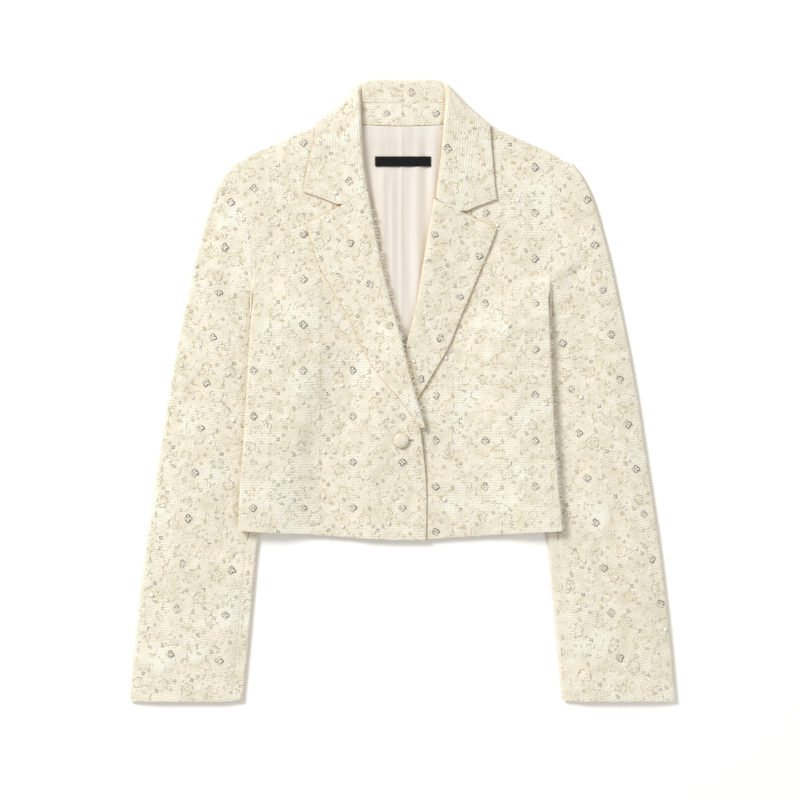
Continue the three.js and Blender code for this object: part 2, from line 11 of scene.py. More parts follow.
import bmesh
import bpy
import numpy as np
from mathutils import Vector, noise
from mathutils.bvhtree import BVHTree
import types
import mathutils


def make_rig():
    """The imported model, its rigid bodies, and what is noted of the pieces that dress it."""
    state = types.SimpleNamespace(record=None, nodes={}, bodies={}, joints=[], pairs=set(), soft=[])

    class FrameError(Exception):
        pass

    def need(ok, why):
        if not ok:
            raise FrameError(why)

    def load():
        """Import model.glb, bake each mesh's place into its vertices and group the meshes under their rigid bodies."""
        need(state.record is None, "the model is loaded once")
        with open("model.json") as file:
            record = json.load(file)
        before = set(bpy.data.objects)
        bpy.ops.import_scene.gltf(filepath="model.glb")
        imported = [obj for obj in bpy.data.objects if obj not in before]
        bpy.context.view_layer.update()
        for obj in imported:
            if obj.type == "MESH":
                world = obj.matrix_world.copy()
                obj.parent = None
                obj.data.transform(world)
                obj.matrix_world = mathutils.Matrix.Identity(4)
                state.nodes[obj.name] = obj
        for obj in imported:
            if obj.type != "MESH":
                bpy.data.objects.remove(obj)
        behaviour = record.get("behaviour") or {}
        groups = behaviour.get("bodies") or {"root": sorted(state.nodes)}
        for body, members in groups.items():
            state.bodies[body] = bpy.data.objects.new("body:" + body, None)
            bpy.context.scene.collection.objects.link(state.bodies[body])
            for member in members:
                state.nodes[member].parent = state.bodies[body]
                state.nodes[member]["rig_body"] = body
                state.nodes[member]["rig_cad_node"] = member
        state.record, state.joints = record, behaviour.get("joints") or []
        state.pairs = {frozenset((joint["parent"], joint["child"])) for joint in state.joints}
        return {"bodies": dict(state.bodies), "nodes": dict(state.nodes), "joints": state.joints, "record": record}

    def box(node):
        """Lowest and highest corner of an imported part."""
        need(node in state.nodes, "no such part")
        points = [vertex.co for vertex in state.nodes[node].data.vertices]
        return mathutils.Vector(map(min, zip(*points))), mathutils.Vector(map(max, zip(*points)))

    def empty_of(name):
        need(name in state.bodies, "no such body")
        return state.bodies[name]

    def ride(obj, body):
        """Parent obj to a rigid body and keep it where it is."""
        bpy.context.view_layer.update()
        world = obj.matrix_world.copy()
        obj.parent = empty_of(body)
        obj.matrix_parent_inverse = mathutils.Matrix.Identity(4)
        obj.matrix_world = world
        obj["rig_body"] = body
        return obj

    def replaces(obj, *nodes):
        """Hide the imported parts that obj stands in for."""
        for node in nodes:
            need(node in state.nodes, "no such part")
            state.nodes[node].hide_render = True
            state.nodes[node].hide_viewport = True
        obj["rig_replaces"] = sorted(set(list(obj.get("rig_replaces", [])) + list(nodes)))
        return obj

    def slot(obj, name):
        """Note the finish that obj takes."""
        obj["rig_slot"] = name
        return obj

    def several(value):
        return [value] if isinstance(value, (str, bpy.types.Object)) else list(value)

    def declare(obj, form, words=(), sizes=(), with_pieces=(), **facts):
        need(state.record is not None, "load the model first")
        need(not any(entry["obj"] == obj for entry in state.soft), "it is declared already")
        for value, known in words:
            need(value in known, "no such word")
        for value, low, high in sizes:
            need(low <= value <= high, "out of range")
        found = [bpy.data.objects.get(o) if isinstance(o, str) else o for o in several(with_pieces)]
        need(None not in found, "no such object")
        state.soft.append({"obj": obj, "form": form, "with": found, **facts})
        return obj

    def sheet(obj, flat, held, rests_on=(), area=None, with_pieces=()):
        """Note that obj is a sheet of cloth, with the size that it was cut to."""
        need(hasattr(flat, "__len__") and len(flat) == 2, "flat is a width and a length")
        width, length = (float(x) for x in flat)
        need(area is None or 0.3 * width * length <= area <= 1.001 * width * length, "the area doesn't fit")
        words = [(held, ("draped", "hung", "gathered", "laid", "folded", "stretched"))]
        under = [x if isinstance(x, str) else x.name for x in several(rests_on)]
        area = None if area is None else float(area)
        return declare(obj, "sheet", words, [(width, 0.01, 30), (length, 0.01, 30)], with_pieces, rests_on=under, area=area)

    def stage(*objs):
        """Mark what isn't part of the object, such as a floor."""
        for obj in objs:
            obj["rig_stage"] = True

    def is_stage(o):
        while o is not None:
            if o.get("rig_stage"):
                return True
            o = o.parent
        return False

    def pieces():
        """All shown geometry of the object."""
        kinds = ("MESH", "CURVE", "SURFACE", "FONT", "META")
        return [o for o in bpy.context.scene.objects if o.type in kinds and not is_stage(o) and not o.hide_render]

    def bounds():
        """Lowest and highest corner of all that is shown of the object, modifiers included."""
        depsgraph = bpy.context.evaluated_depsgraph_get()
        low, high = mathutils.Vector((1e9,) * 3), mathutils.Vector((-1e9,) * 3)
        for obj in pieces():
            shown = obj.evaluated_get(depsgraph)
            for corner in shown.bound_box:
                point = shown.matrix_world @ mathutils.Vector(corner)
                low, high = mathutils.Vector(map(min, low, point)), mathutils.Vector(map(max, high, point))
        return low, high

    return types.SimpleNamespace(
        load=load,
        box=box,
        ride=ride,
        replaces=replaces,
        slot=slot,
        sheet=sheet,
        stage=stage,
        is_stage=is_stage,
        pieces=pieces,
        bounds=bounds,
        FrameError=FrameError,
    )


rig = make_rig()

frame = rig.load()
cad_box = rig.bounds()

MM = 0.001
RIGHT = -1
LEFT = 1

# Thicknesses, clearances and heights of the layers, the solids' own walls among them
CLOTH = 1.5
RIM_SHARE = 0.3
SHARP_EDGE = 60
SOLID_CLOTH = 1.6
LINING_CLOTH = 0.9
SOLID_LINING = 1.0
SEAM_GAP = 0.4
LINING_CLEAR = 0.8
ARMHOLE_GAP = 0.7
LAPEL_CLEAR = 0.8
SLEEVE_STACK = 4.4
SLEEVE_PUFF = 2.4
BACK_OVER_SLEEVE = 5.2
BACK_OVER_COLLAR = 2.2
FRONT_OVER_BACK = 4.2
LAP_CLEAR = 0.6
TUCK_HEIGHT = 3.4
UNDER_LEG_RISE = 0.5
FRONT_CURL = 2.2
BACK_CURL = 1.9
BACK_INSET = 1.6
TUCK_LEG = 8.6
TUCK_DEPTH = 58
TUCK_TOP_Y = 78
FLAT_EDGE = 3
ARMHOLE_OPEN_Y = 112
HEM_Y = -158
SHOULDER_END_Y = 258
CUFF_Y = -350.5
LAPEL_LEG = 5.6
LAPEL_LEG_START = 0.8
LAPEL_SPRING = 46
FRONT_PAST_ROLL = 6.4
SLEEVE_BACK_IN = 0.6
SLEEVE_HEAD_BLEND = 28
FOREARM_SEAM_IN = 12
HINDARM_SEAM_IN = 38

# Where a layer starts to rise or fall and where it ends, measured in from an edge, or along Y or out
SLEEVE_END = {"y": 54, "slope": 0.64, "out": 114}
BACK_RISE_IN = (48, 8)
BACK_FALL_IN = (-14, -64)
COLLAR_RISE_Y = (264, 288)
COLLAR_FALL_OUT = (106, 134)
LAP_RISE_IN = (44, 8)
LAP_FALL_Y = (66, 104)
LAPEL_START_Y = (-62, -44)
TUCK_RISE_IN = (95, 52)
TUCK_FALL_Y = (85, 140)
SHOULDER_FALL_IN = (15, 1)
SHOULDER_FROM = 60
PUFF_PAST_EDGE = (-3, -36)
PUFF_FALL_Y = (-206, -168)
PUFF_FROM_FOLD = (2, 26)
UNDER_LEG_IN = (2, 20)


def table(names, *rows):
    """Rows with named columns."""
    return [dict(zip(names.split(), row)) for row in rows]


BODY_EDGE = table(
    "y right left",
    (-158, 185.3, 180), (-126, 184.6, 176.8), (-83, 181, 173.5), (-11, 176.6, 169), (60, 172.4, 165.8),
    (112, 169.2, 165.2), (128, 169.4, 167.6), (138, 169.6, 181), (150, 170, 191), (172, 171, 193.4),
    (196, 174, 195), (216, 179.8, 196.2), (236, 184, 193.6), (258, 185.4, 184),
)
ROLL_LINE = table(
    "y right left radius",
    (-168, -25.8, -27, 2.2), (-100, -26, -27, 2.2), (-62, -27.2, -27, 2.2), (-43, -25.6, -25.6, 2.2),
    (-20, -18.9, -19.6, 2.3), (18, -8.6, -8, 2.5), (69, 4.1, 8.2, 2.8), (105, 14.4, 16.3, 3.1),
    (132, 20.6, 20.6, 3.3), (163, 27.6, 25.7, 3.4), (192, 33, 30.6, 3.5), (227, 39.2, 36.4, 3.5),
)
LAPEL_ROWS = {
    RIGHT: table(
        "roll_y out y",
        (-41, -20.4, -42), (-30, -13.6, -33), (-8, 4, -9), (20, 27.6, 18), (55, 48, 53),
        (90, 60.5, 82), (125, 77, 110), (160, 92.5, 137), (195, 102.4, 165), (225.4, 108.6, 187.4),
    ),
    LEFT: table(
        "roll_y out y",
        (-41, -20.4, -42), (-30, -10, -30), (-8, 16, -8), (20, 34, 19.5), (54, 51, 49),
        (88, 63.5, 79), (122, 76, 109), (154, 87.4, 136), (186, 97.6, 160), (216, 105.4, 182.2),
    ),
}
NECK_ROWS = table("y out", (244, 53), (266, 57), (292, 60.5), (314, 64))
PANEL_SIDE_YS = (-158, -116, -74, -32, 10, 50, 84, 112, 128, 138, 150, 172, 196, 216, 236, 258)
SHOULDER_LINE = table(
    "out y",
    (0, 322.6), (44, 321), (63, 314), (80, 305), (98, 297), (120, 288.8), (150, 275.4),
    (167, 268.4), (178, 262.8), (186.5, 258),
)
HEM_LINE = table("out y", (-28, -168.4), (20, -168), (60, -165.4), (120, -161.4), (186, -158))
SLEEVE_FOLDS = table(
    "y outer inner",
    (-350.5, 308, 181), (-304, 304, 176.4), (-259, 299.4, 172), (-214, 294.4, 168.4),
    (-169, 288.7, 163.6), (-124, 282, 154.5), (-78, 275.2, 143), (-33, 268.4, 129.5),
    (12, 261.4, 114.5), (57, 252.8, 101), (102, 243.6, 98), (147, 234, 98), (181, 225, 98),
    (215, 215.2, 98), (236, 206, 98), (249, 197.2, 98), (258, 190, 98),
)
SLEEVE_HEAD_ROWS = table(
    "front_y outer_y past_edge front_z",
    (255, 256.5, 1.4, None), (247, 251, None, None), (236, 241, None, None), (216, 221, None, None),
    (196, 200, None, None), (172, 175, None, None), (150, 154, None, None), (138, 144, None, None),
    (128, 134, None, None), (116, 124, 1.6, 8.2), (104, 114, 2.4, 6.6), (92, 104, 2.8, 4.8),
    (80, 94, -9, 4.4), (66, 83, -34, 4.4),
)
SLEEVE_ROWS = table(
    "front_y outer_y",
    (54, 72), (16, 38), (-28, -6), (-74, -54), (-122, -106), (-170, -160), (-230, -224),
    (-290, -287), (CUFF_Y, CUFF_Y),
)
TROUGH_LINE = table("y x", (130, 196), (80, 202), (-10, 200), (-140, 204.5))
TROUGH = {"depth": 1.5, "width": 9, "starts_y": (-175, -90), "ends_y": (120, 150)}
COLLAR_COLUMNS = "seam roll mid edge face roll_z edge_z"
GORGE_ROWS = {
    RIGHT: table(
        COLLAR_COLUMNS,
        ((44.4, 223.9), (39.6, 226.2), (69.8, 209.4), (112.4, 223.8), 0, 7.9, 8.5),
        ((47.2, 241), (42, 243), (74.6, 228), (110.4, 237), 0, 7.9, 8.5),
        ((50, 263.6), (44.8, 266), (75, 260), (105, 262), 0, 8.4, 8.9),
        ((51.6, 293.4), (46.4, 296), (73, 290), (99.8, 284), 0, 9.8, 10.2),
    ),
    LEFT: table(
        COLLAR_COLUMNS,
        ((40.4, 215.4), (36.8, 217), (66.6, 201.8), (105.6, 215.2), 0, 7.9, 8.5),
        ((44.6, 237.2), (39.2, 239.5), (70, 225), (103.6, 230), 0, 7.9, 8.5),
        ((48.4, 264), (42.8, 266), (72, 260), (101.4, 256), 0, 8.4, 8.9),
        ((50.4, 293.6), (45.2, 296), (71.6, 290), (98.8, 282), 0, 9.8, 10.2),
    ),
}
NECK_TURN_ROWS = table(
    COLLAR_COLUMNS,
    ((53.2, 317.8), (47.2, 320), (72.4, 309), (98, 295.4), 14, 9.8, 10),
    ((54.2, 326.6), (47.8, 337), (72.4, 319), (97.4, 300.8), 52, 8.2, 8.2),
    ((51.4, 326), (46.2, 344.6), (71, 323.6), (95.6, 302.2), 98, 6, 5),
    ((46.4, 325), (41.6, 348.8), (67, 323.4), (92.8, 301.8), 150, 3.9, 1.5),
    ((36, 324.2), (34, 350.3), (57, 324), (84, 299.2), 180, 2.9, 0),
    ((18, 323.8), (18, 350.3), (30, 324), (44, 298), 180, 2.9, 0),
)
CENTRE_BACK_ROW = table(COLLAR_COLUMNS, ((0, 323.6), (0, 350.3), (0, 324), (0, 297.4), 180, 2.9, 0))[0]
CHEST_BEND = 3.5
BACK_BEND = 2.9
FACING = {"half_width": 51, "top_y": 322.8, "bottom_y": 300.6, "dip": 2.4, "level_to": 42, "slope": 0.22}
LINING = {"half_width": 57, "bottom_y": -140, "level_to": 47, "drop": 26}
LINING_FOLDS = table(
    "x width height top_y bottom_y",
    (-1.7, 1.5, 1.0, 302, 10), (-12, 2.6, 1.0, 246, 30), (-22, 5, 1.4, 262, 50), (-36, 5, -0.7, 300, 80),
    (7, 3.4, -0.6, 250, 60), (16, 4.5, 1.3, 290, 50), (26, 3.6, -0.7, 292, 90), (34, 4, 1.1, 306, 130),
)
FOLD_FADE = {"bottom": 60, "top": 24}
LABEL = {"width": 63, "height": 11.4, "y": 258.2, "lift": 1.2, "thickness": 0.7, "rib_pitch": 0.5}
LABEL_STITCH = {"from_end": 1.6, "pitch": 3.4, "half": 0.9, "radius": 0.22}
BUTTON = {"x": -2.2, "y": -56, "radius": 8.7, "height": 4.4, "shank": 1.5, "rim": 0.6, "flattened": 0.8,
          "under": 0.16, "gathers": 23, "gather": 0.21}
BUTTONHOLE = {"round": 1.9, "slit": 0.7, "reach": 13.2, "bite": 1.3, "pitch": 0.85, "radius": 0.4,
              "bars": (0.4, 1.0), "bar_past": 0.8, "cutter": 40}

# Grain, density and relief of the cloth; a crease is its start, its end, its width and its height
SPACING = 3.0
PUCKER = {"size": 17, "height": 0.34, "fine_height": 0.2, "finer_by": 2.6}
FACES_UP = 0.05
RIM_ROWS = 3
CREASE_BOW = 3.0
RIB_PITCH = 2.9
LAPEL_GRAIN = 26
SLEEVE_GRAIN = {RIGHT: -7.6, LEFT: 10.3}
FLAT_NODES = ("back", "side_right", "side_left")
CREASES = {
    "front_left": ((150, 160, 146, 60, 9, -0.7), (120, 210, 150, 120, 12, 0.5)),
    "front_right": ((-84, 130, -58, 30, 9, -0.5), (-150, 190, -160, 60, 12, -0.6)),
    "sleeve_left_upper": ((232, 60, 262, -130, 14, 0.8), (222, -60, 230, -260, 10, -0.7),
                          (262, -150, 290, -330, 12, 0.6)),
    "sleeve_right_upper": ((-222, 120, -232, -60, 12, -0.8), (-206, -20, -226, -220, 12, 0.8),
                           (-262, -120, -286, -320, 12, -0.7)),
}

# Colours
CREAM = (0.856, 0.826, 0.732)
WARM_CREAM = (0.852, 0.798, 0.675)
# Painted shade for the low parts of the boucle's relief
VALLEY_PAINTED_SHADE = (0.71, 0.665, 0.53)
OLIVE_FLECK = (0.7, 0.67, 0.54)
SATIN = (0.77, 0.735, 0.68)
# Painted shade for the long fold bands of the lining
SATIN_FOLD_PAINTED_SHADE = (0.725, 0.67, 0.595)
BLACK = (0.006, 0.006, 0.007)
BLACK_YARN = (0.014, 0.014, 0.016)
PALE_SILVER = (0.62, 0.59, 0.51)
WHITE_SILVER = (0.8, 0.77, 0.7)
DARK_SILVER = (0.05, 0.047, 0.04)
MID_SILVER = (0.26, 0.25, 0.22)
PEARL = (0.84, 0.82, 0.76)
PINK_PEARL = (0.86, 0.79, 0.75)
CREAM_THREAD = (0.94, 0.91, 0.8)
BEIGE_THREAD = (0.8, 0.72, 0.52)
OLIVE_THREAD = (0.67, 0.64, 0.53)
SEAM_SHADE = (0.83, 0.79, 0.66)
# Painted shade: golden brown for the boucle and a warm tint for the lining, where other cloth lies close
CREVICE_PAINTED_SHADE = (0.68, 0.47, 0.17)
SATIN_CREVICE_PAINTED_SHADE = (0.74, 0.6, 0.4)
COOL_CREAM = (0.84, 0.823, 0.73)
# Painted shade: golden brown on the inner faces of the boucle, to tint the shadows in its crevices
WRONG_SIDE_PAINTED_SHADE = (0.74, 0.56, 0.28)

# The repeat of sequin groups and flowers, in the cloth's own directions
LATTICE_X = 55.7
LATTICE_Y = 51.4
LATTICE_REACH = 9
LATTICES = {
    "back_cloth": (0, 0, 0),
    "front_right_cloth": (-112.3, -80.5, 0),
    "front_left_cloth": (92.7, -56.7, 0),
    "lapel_right_cloth": (-59.7, 165.8, 25.7),
    "lapel_left_cloth": (85.9, 152, -25.4),
    "sleeve_right_upper_cloth": (-235, -93.2, -7.6),
    "sleeve_left_upper_cloth": (262.2, -88.7, 10.3),
    "sleeve_right_under_cloth": (-235, -93.2, -7.6),
    "sleeve_left_under_cloth": (262.2, -88.7, 10.3),
    "collar_cloth": (-60.8, 235, 80),
    "back_facing_cloth": (-19, 312, 0),
}
UNDERSIDE_LATTICE = (0, 0, 0)
ROSETTES = ((13, -13, 7.5), (-16, -8, 6), (24, 15, 6.5), (-3, 18, 5))
SPRIGS = ((-10, 9, 40, 4), (6, 12, 120, 3), (-24, 5, 75, 4), (19, -1, 30, 4),
          (-4, -18, 150, 3), (9, 22, 60, 3), (-22, -21, 10, 3), (23, -21, 100, 3))
STEMS = ((-16, -2, -5, 13, 3), (13, -5, 22, 9, -3), (5, -16, -10, -12, 2.5), (-24, 12, -12, 22, -2.5))
PAILETTE_PLACES = ((12, -12), (-18, 12), (24, 14), (-14, -20), (2, 19))
TONES = ("cream", "cream", "beige", "olive")

# Sizes of the small sewn things, and how level the cloth is under them
THREAD = {"radius": 0.45, "end": 0.45, "height": 0.75, "up": 0.35}
HAIR = {"radius": 0.3, "root_in": 0.8}
LOBE = {"out": 2.5, "disc": 1.85, "disc_up": 0.1, "flat": 0.2, "rim": 1.9, "wire": 0.32, "rim_up": 0.42,
        "open_from": 128}
# Shares of dark, grey and pale rims in each quarter of a large group; the quarters towards the window get pale ones
# more often, a painted highlight
RIM_SHARES = ((7, 2, 1), (4, 3, 3), (0, 2, 8), (3, 3, 4))
BEAD = {"radius": 0.68, "up": 0.25, "flat": 0.75, "out": 1.12, "lost": 0.1}
PAILETTE = {"radius": 2.3, "thickness": 0.3, "up": 0.45, "cup": 0.06, "share": 0.16, "reach": 2.4}
LARGE_REACH = 4.0
SMALL_REACH = 1.8
LEVEL_WITHIN = 1.6
STEEPEST = 0.75
HIGHEST_STEP = 0.9
LOOK_FROM = 200
SEAM_NECK_Y = 323.2
SEAM_NECK_OUT = 44
SEAM_NECK_CORNER = ((45.6, 323.6), (47.4, 324.2), (49.4, 324.4), (51.2, 323.6), (52.2, 320), (51.8, 314))
SEAM_RADIUS = 1.2
ARMHOLE_SEAM_RADIUS = 1.8
SEAM_DEPTH = 1.05
SEAM_SIDES = 1.8
# How far the painted crevice shade looks for cloth close by, and where it fades out, for the boucle and the lining
CREVICE_REACH = 7
CREVICE_OPEN = (0.34, 0.78)
LINING_REACH = 11
LINING_OPEN = (0.2, 0.85)
CREVICE_SHADE_SAMPLES = 8
WAVE_PITCH = 0.3142
FLAT_BELOW = 0.35

# Camera, floor and light
FRAME_WIDTH = 904
CAMERA_X = -3.39
CAMERA_Y = -10.7
FLOOR_Z = -0.8
FLOOR_WHITE = (0.97, 0.97, 0.97)
ROOM_WHITE = (1.0, 0.985, 0.95)
ROOM_LIGHT = 0.5
LIGHTS = (
    ("window", (-3.4, 3.0, 3.6), 1.9, 275, (1.0, 0.985, 0.96)),
    ("fill", (2.4, -2.2, 3.6), 3.0, 50, (1.0, 0.99, 0.98)),
)


def mix(a, b, t):
    return a + (b - a) * t


def ease(x, low, high):
    t = min(max((x - low) / (high - low), 0), 1)
    return t * t * (3 - 2 * t)


def steps(count):
    return [i / count for i in range(count + 1)]


def rise(x, edge, reach):
    """Eases from 0 to 1 between two distances before an edge."""
    return ease(x, edge - reach[0], edge - reach[1])


def column(rows, key, name):
    """A smooth curve through one column of a table, looked up by another column."""
    rows = sorted(rows, key=lambda row: row[key])
    xs = [row[key] for row in rows]
    ys = [row[name] for row in rows]
    last = len(xs) - 1

    def at(x):
        x = min(max(x, xs[0]), xs[last])
        i = max(1, min(bisect.bisect_right(xs, x), last))
        half = (xs[i] - xs[i - 1]) / 2
        before = half / (xs[i - 1] - xs[i - 2]) if i > 1 else -0.5
        after = half / (xs[i + 1] - xs[i]) if i < last else -0.5
        p = (x - xs[i - 1]) / (2 * half)
        weight_before = before * (-p ** 3 + 2 * p * p - p)
        weight_start = (1 + before) * p ** 3 - (1.5 + 2 * before) * p * p - (0.5 - before) * p + 1
        weight_end = -(1 + after) * p ** 3 + (1.5 + after) * p * p + 0.5 * p
        weight_after = after * (p ** 3 - p * p)
        y_before = ys[i - 2] if i > 1 else ys[i]
        y_after = ys[i + 1] if i < last else ys[i - 1]
        return (weight_before * y_before + weight_start * ys[i - 1]
                + weight_end * ys[i] + weight_after * y_after)

    return at


edge_of = {RIGHT: column(BODY_EDGE, "y", "right"), LEFT: column(BODY_EDGE, "y", "left")}
roll_of = {RIGHT: column(ROLL_LINE, "y", "right"), LEFT: column(ROLL_LINE, "y", "left")}
roll_radius = column(ROLL_LINE, "y", "radius")
shoulder_at = column(SHOULDER_LINE, "out", "y")
hem_at = column(HEM_LINE, "out", "y")
sleeve_outer = column(SLEEVE_FOLDS, "y", "outer")
sleeve_inner = column(SLEEVE_FOLDS, "y", "inner")
trough_at = column(TROUGH_LINE, "y", "x")


def back_underside(x, y):
    """Height of the back's outside, which bridges the sleeves and the back of the collar."""
    out = abs(x)
    sleeve_end_y = SLEEVE_END["y"] + SLEEVE_END["slope"] * (out - SLEEVE_END["out"])
    over_sleeve = rise(out, sleeve_inner(y), BACK_RISE_IN) * (1 - rise(y, sleeve_end_y, BACK_FALL_IN))
    over_collar = ease(y, *COLLAR_RISE_Y) * (1 - ease(out, *COLLAR_FALL_OUT))
    return BACK_OVER_SLEEVE * over_sleeve + BACK_OVER_COLLAR * over_collar


def lap_lift(x, y):
    """How far the left front and its lapel lift the right front where it laps over them."""
    height = mix(SOLID_CLOTH + LAP_CLEAR, 2 * roll_radius(y) + LAPEL_CLEAR, ease(y, *LAPEL_START_Y))
    return height * rise(x, roll_of[LEFT](y), LAP_RISE_IN) * (1 - ease(y, *LAP_FALL_Y))


def front_underside(x, y, side):
    """Height of a front's inside, over the back, the side panel that is tucked in, and the lap."""
    out = abs(x)
    tuck = TUCK_HEIGHT * rise(out, edge_of[side](y), TUCK_RISE_IN) * (1 - ease(y, *TUCK_FALL_Y))
    opened = FRONT_OVER_BACK + tuck + (lap_lift(x, y) if side == RIGHT else 0)
    shoulder = rise(y, shoulder_at(out), SHOULDER_FALL_IN) if out > SHOULDER_FROM else 0
    return back_underside(x, y) + mix(opened, SOLID_CLOTH + SEAM_GAP, shoulder)


def front_top(x, y, side):
    return front_underside(x, y, side) + SOLID_CLOTH


def sleeve_top(x, y, side):
    """Height of a sleeve's upper face: pressed flat under the body and a little puffed beside it."""
    out = abs(x)
    beside_body = rise(out, edge_of[side](y), PUFF_PAST_EDGE)
    below_hem = 1 - ease(y, *PUFF_FALL_Y)
    from_outer = ease(sleeve_outer(y) - out, *PUFF_FROM_FOLD)
    from_inner = ease(out - sleeve_inner(y), *PUFF_FROM_FOLD)
    puff = SLEEVE_PUFF * max(beside_body, below_hem) * (from_outer * from_inner)
    return SLEEVE_STACK + puff - (trough_depth(x, y) if side == LEFT else 0)


def trough_depth(x, y):
    """The soft trough down the left sleeve, close beside the body."""
    along = ease(y, *TROUGH["starts_y"]) * (1 - ease(y, *TROUGH["ends_y"]))
    return TROUGH["depth"] * along * math.exp(-((x - trough_at(y)) / TROUGH["width"]) ** 2)


def side_columns(y, side, inset, radius, turn, surface):
    """The side of a panel: a curl and a leg that is turned in, or a flat edge at the armhole."""
    edge = edge_of[side](y) - inset
    tucked = 1 - ease(y, TUCK_TOP_Y, ARMHOLE_OPEN_Y)
    curl = [(edge - radius + radius * math.sin(math.pi * t), turn * radius * (1 - math.cos(math.pi * t)))
            for t in steps(5)]
    curl.append((edge - TUCK_LEG, turn * 2 * radius))
    points = []
    for i, (out, fall) in enumerate(curl):
        flat_out = edge + inset - FLAT_EDGE + FLAT_EDGE * i / (len(curl) - 1)
        height = surface(side * min(out, edge - 1), y)
        points.append((side * mix(flat_out, out, tucked), y, height + fall * tucked))
    return points


def back_grid():
    """The back's outside, from hem to shoulder, with both its sides turned in."""
    rows = []
    for side_y in PANEL_SIDE_YS:
        v = (side_y - HEM_Y) / (SHOULDER_END_Y - HEM_Y)
        right = side_columns(side_y, RIGHT, BACK_INSET, BACK_CURL, 1, back_underside)
        left = side_columns(side_y, LEFT, BACK_INSET, BACK_CURL, 1, back_underside)
        between = []
        for u in steps(24)[1:-1]:
            x = mix(right[0][0], left[0][0], u)
            y = mix(HEM_Y, shoulder_at(abs(x)), v)
            between.append((x, y, back_underside(x, y)))
        rows.append(right[::-1] + between + left)
    return rows


def front_grid(side):
    """A front's outside, from its inner edge to its turned side, row by row from hem to shoulder."""
    inner = [(roll_of[side](y), y) for y in (-168.2, -106)]
    inner += [(roll_of[side](row["roll_y"]) + FRONT_PAST_ROLL, row["roll_y"]) for row in LAPEL_ROWS[side]]
    inner += [(row["out"], row["y"]) for row in NECK_ROWS]

    def surface(x, y):
        return front_top(x, y, side)

    rows = []
    for row, ((out, start_y), side_y) in enumerate(zip(inner, PANEL_SIDE_YS)):
        turned = side_columns(side_y, side, 0, FRONT_CURL, -1, surface)
        across = []
        for t in steps(10)[:-1]:
            x = mix(side * out, turned[0][0], t)
            y = mix(start_y, side_y, t)
            if row == 0:
                y = hem_at(side * x)
            if row == len(inner) - 1:
                y = shoulder_at(side * x) - SEAM_GAP / 2
            across.append((x, y, surface(x, y)))
        rows.append(across + turned)
    return rows


def side_grid(side):
    """A side panel, folded lengthwise between the front and the back."""
    rows = []
    for v in steps(7):
        y = mix(HEM_Y, TUCK_TOP_Y, v)
        start = edge_of[side](y) - TUCK_LEG - SEAM_GAP
        end = edge_of[side](y) - TUCK_DEPTH

        def leg_top(out):
            return front_top(side * out, y, side) - 2 * FRONT_CURL + SOLID_CLOTH

        def leg_bottom(out):
            lifted = UNDER_LEG_RISE * ease(start - out, *UNDER_LEG_IN)
            return back_underside(side * out, y) + 2 * BACK_CURL - SOLID_CLOTH + lifted

        radius = (leg_top(end) - leg_bottom(end)) / 2
        outs = [mix(start, end + radius, t) for t in (0, 0.5, 1)]
        upper = [(side * out, y, leg_top(out)) for out in outs]
        bend = [(side * (end + radius - radius * math.sin(math.pi * t)), y,
                 leg_bottom(end) + radius * (1 + math.cos(math.pi * t))) for t in steps(4)[1:-1]]
        lower = [(side * out, y, leg_bottom(out)) for out in outs[::-1][:-1]]
        lower.append((side * (start - BACK_INSET), y, leg_bottom(start)))
        rows.append(upper + bend + lower)
    return rows


def lapel_grid(side):
    """A lapel, from its short leg under the roll line round the roll to its outer edge."""
    rows = []
    for row in LAPEL_ROWS[side]:
        roll = np.array((side * roll_of[side](row["roll_y"]), row["roll_y"]))
        across = np.array((side * row["out"], row["y"])) - roll
        reach = float(np.linalg.norm(across))
        across = across / reach
        radius = roll_radius(row["roll_y"])

        def on_line(distance):
            return roll + across * distance

        def lying(distance):
            return front_top(*on_line(distance), side) + LAPEL_CLEAR + SOLID_CLOTH

        under = front_underside(*on_line(radius), side)
        points = [(*on_line(distance), under) for distance in (LAPEL_LEG, radius + LAPEL_LEG_START)]
        for t in steps(6):
            back_by, up_by = radius * (1 - math.sin(math.pi * t)), radius * (1 - math.cos(math.pi * t))
            points.append((*on_line(back_by), under + up_by))
        spring = under + 2 * radius - lying(radius)
        for t in steps(7)[1:]:
            distance = mix(radius, reach, t)
            sprung = spring * (1 - ease(distance, radius, radius + LAPEL_SPRING))
            points.append((*on_line(distance), lying(distance) + sprung))
        rows.append(points)
    return rows


def collar_section(row, side):
    """One section of the collar: from its neck seam round the roll line to its outer edge."""
    seam, roll, mid, edge = (np.array((side * row[name][0], row[name][1], 0.0))
                             for name in ("seam", "roll", "mid", "edge"))
    across = (mid - roll) / np.linalg.norm(mid - roll)
    turn = math.radians(row["face"])
    facing = np.array((-side * across[1] * math.sin(turn), side * across[0] * math.sin(turn), math.cos(turn)))
    radius = mix(CHEST_BEND, BACK_BEND, row["face"] / 180)
    centre = roll + across * radius
    centre[2] = row["roll_z"]
    bend = [centre - across * radius * math.cos(angle) + facing * radius * math.sin(angle)
            for angle in (math.pi * (t - 0.5) for t in steps(6))]
    seam[2] = bend[0][2]
    leg = [mix(seam, bend[0], t) for t in (0, 0.34, 0.67)]
    mid[2] = mix(bend[-1][2], row["edge_z"], 0.6)
    edge[2] = row["edge_z"]
    fall = [mix(bend[-1], mid, 0.5), mid, mix(mid, edge, 0.5), edge]
    return leg + bend + fall


def collar_grid():
    """The collar from one gorge round the back of the neck to the other."""
    halves = {side: [collar_section(row, side) for row in GORGE_ROWS[side] + NECK_TURN_ROWS]
              for side in (RIGHT, LEFT)}
    return halves[RIGHT] + [collar_section(CENTRE_BACK_ROW, LEFT)] + halves[LEFT][::-1]


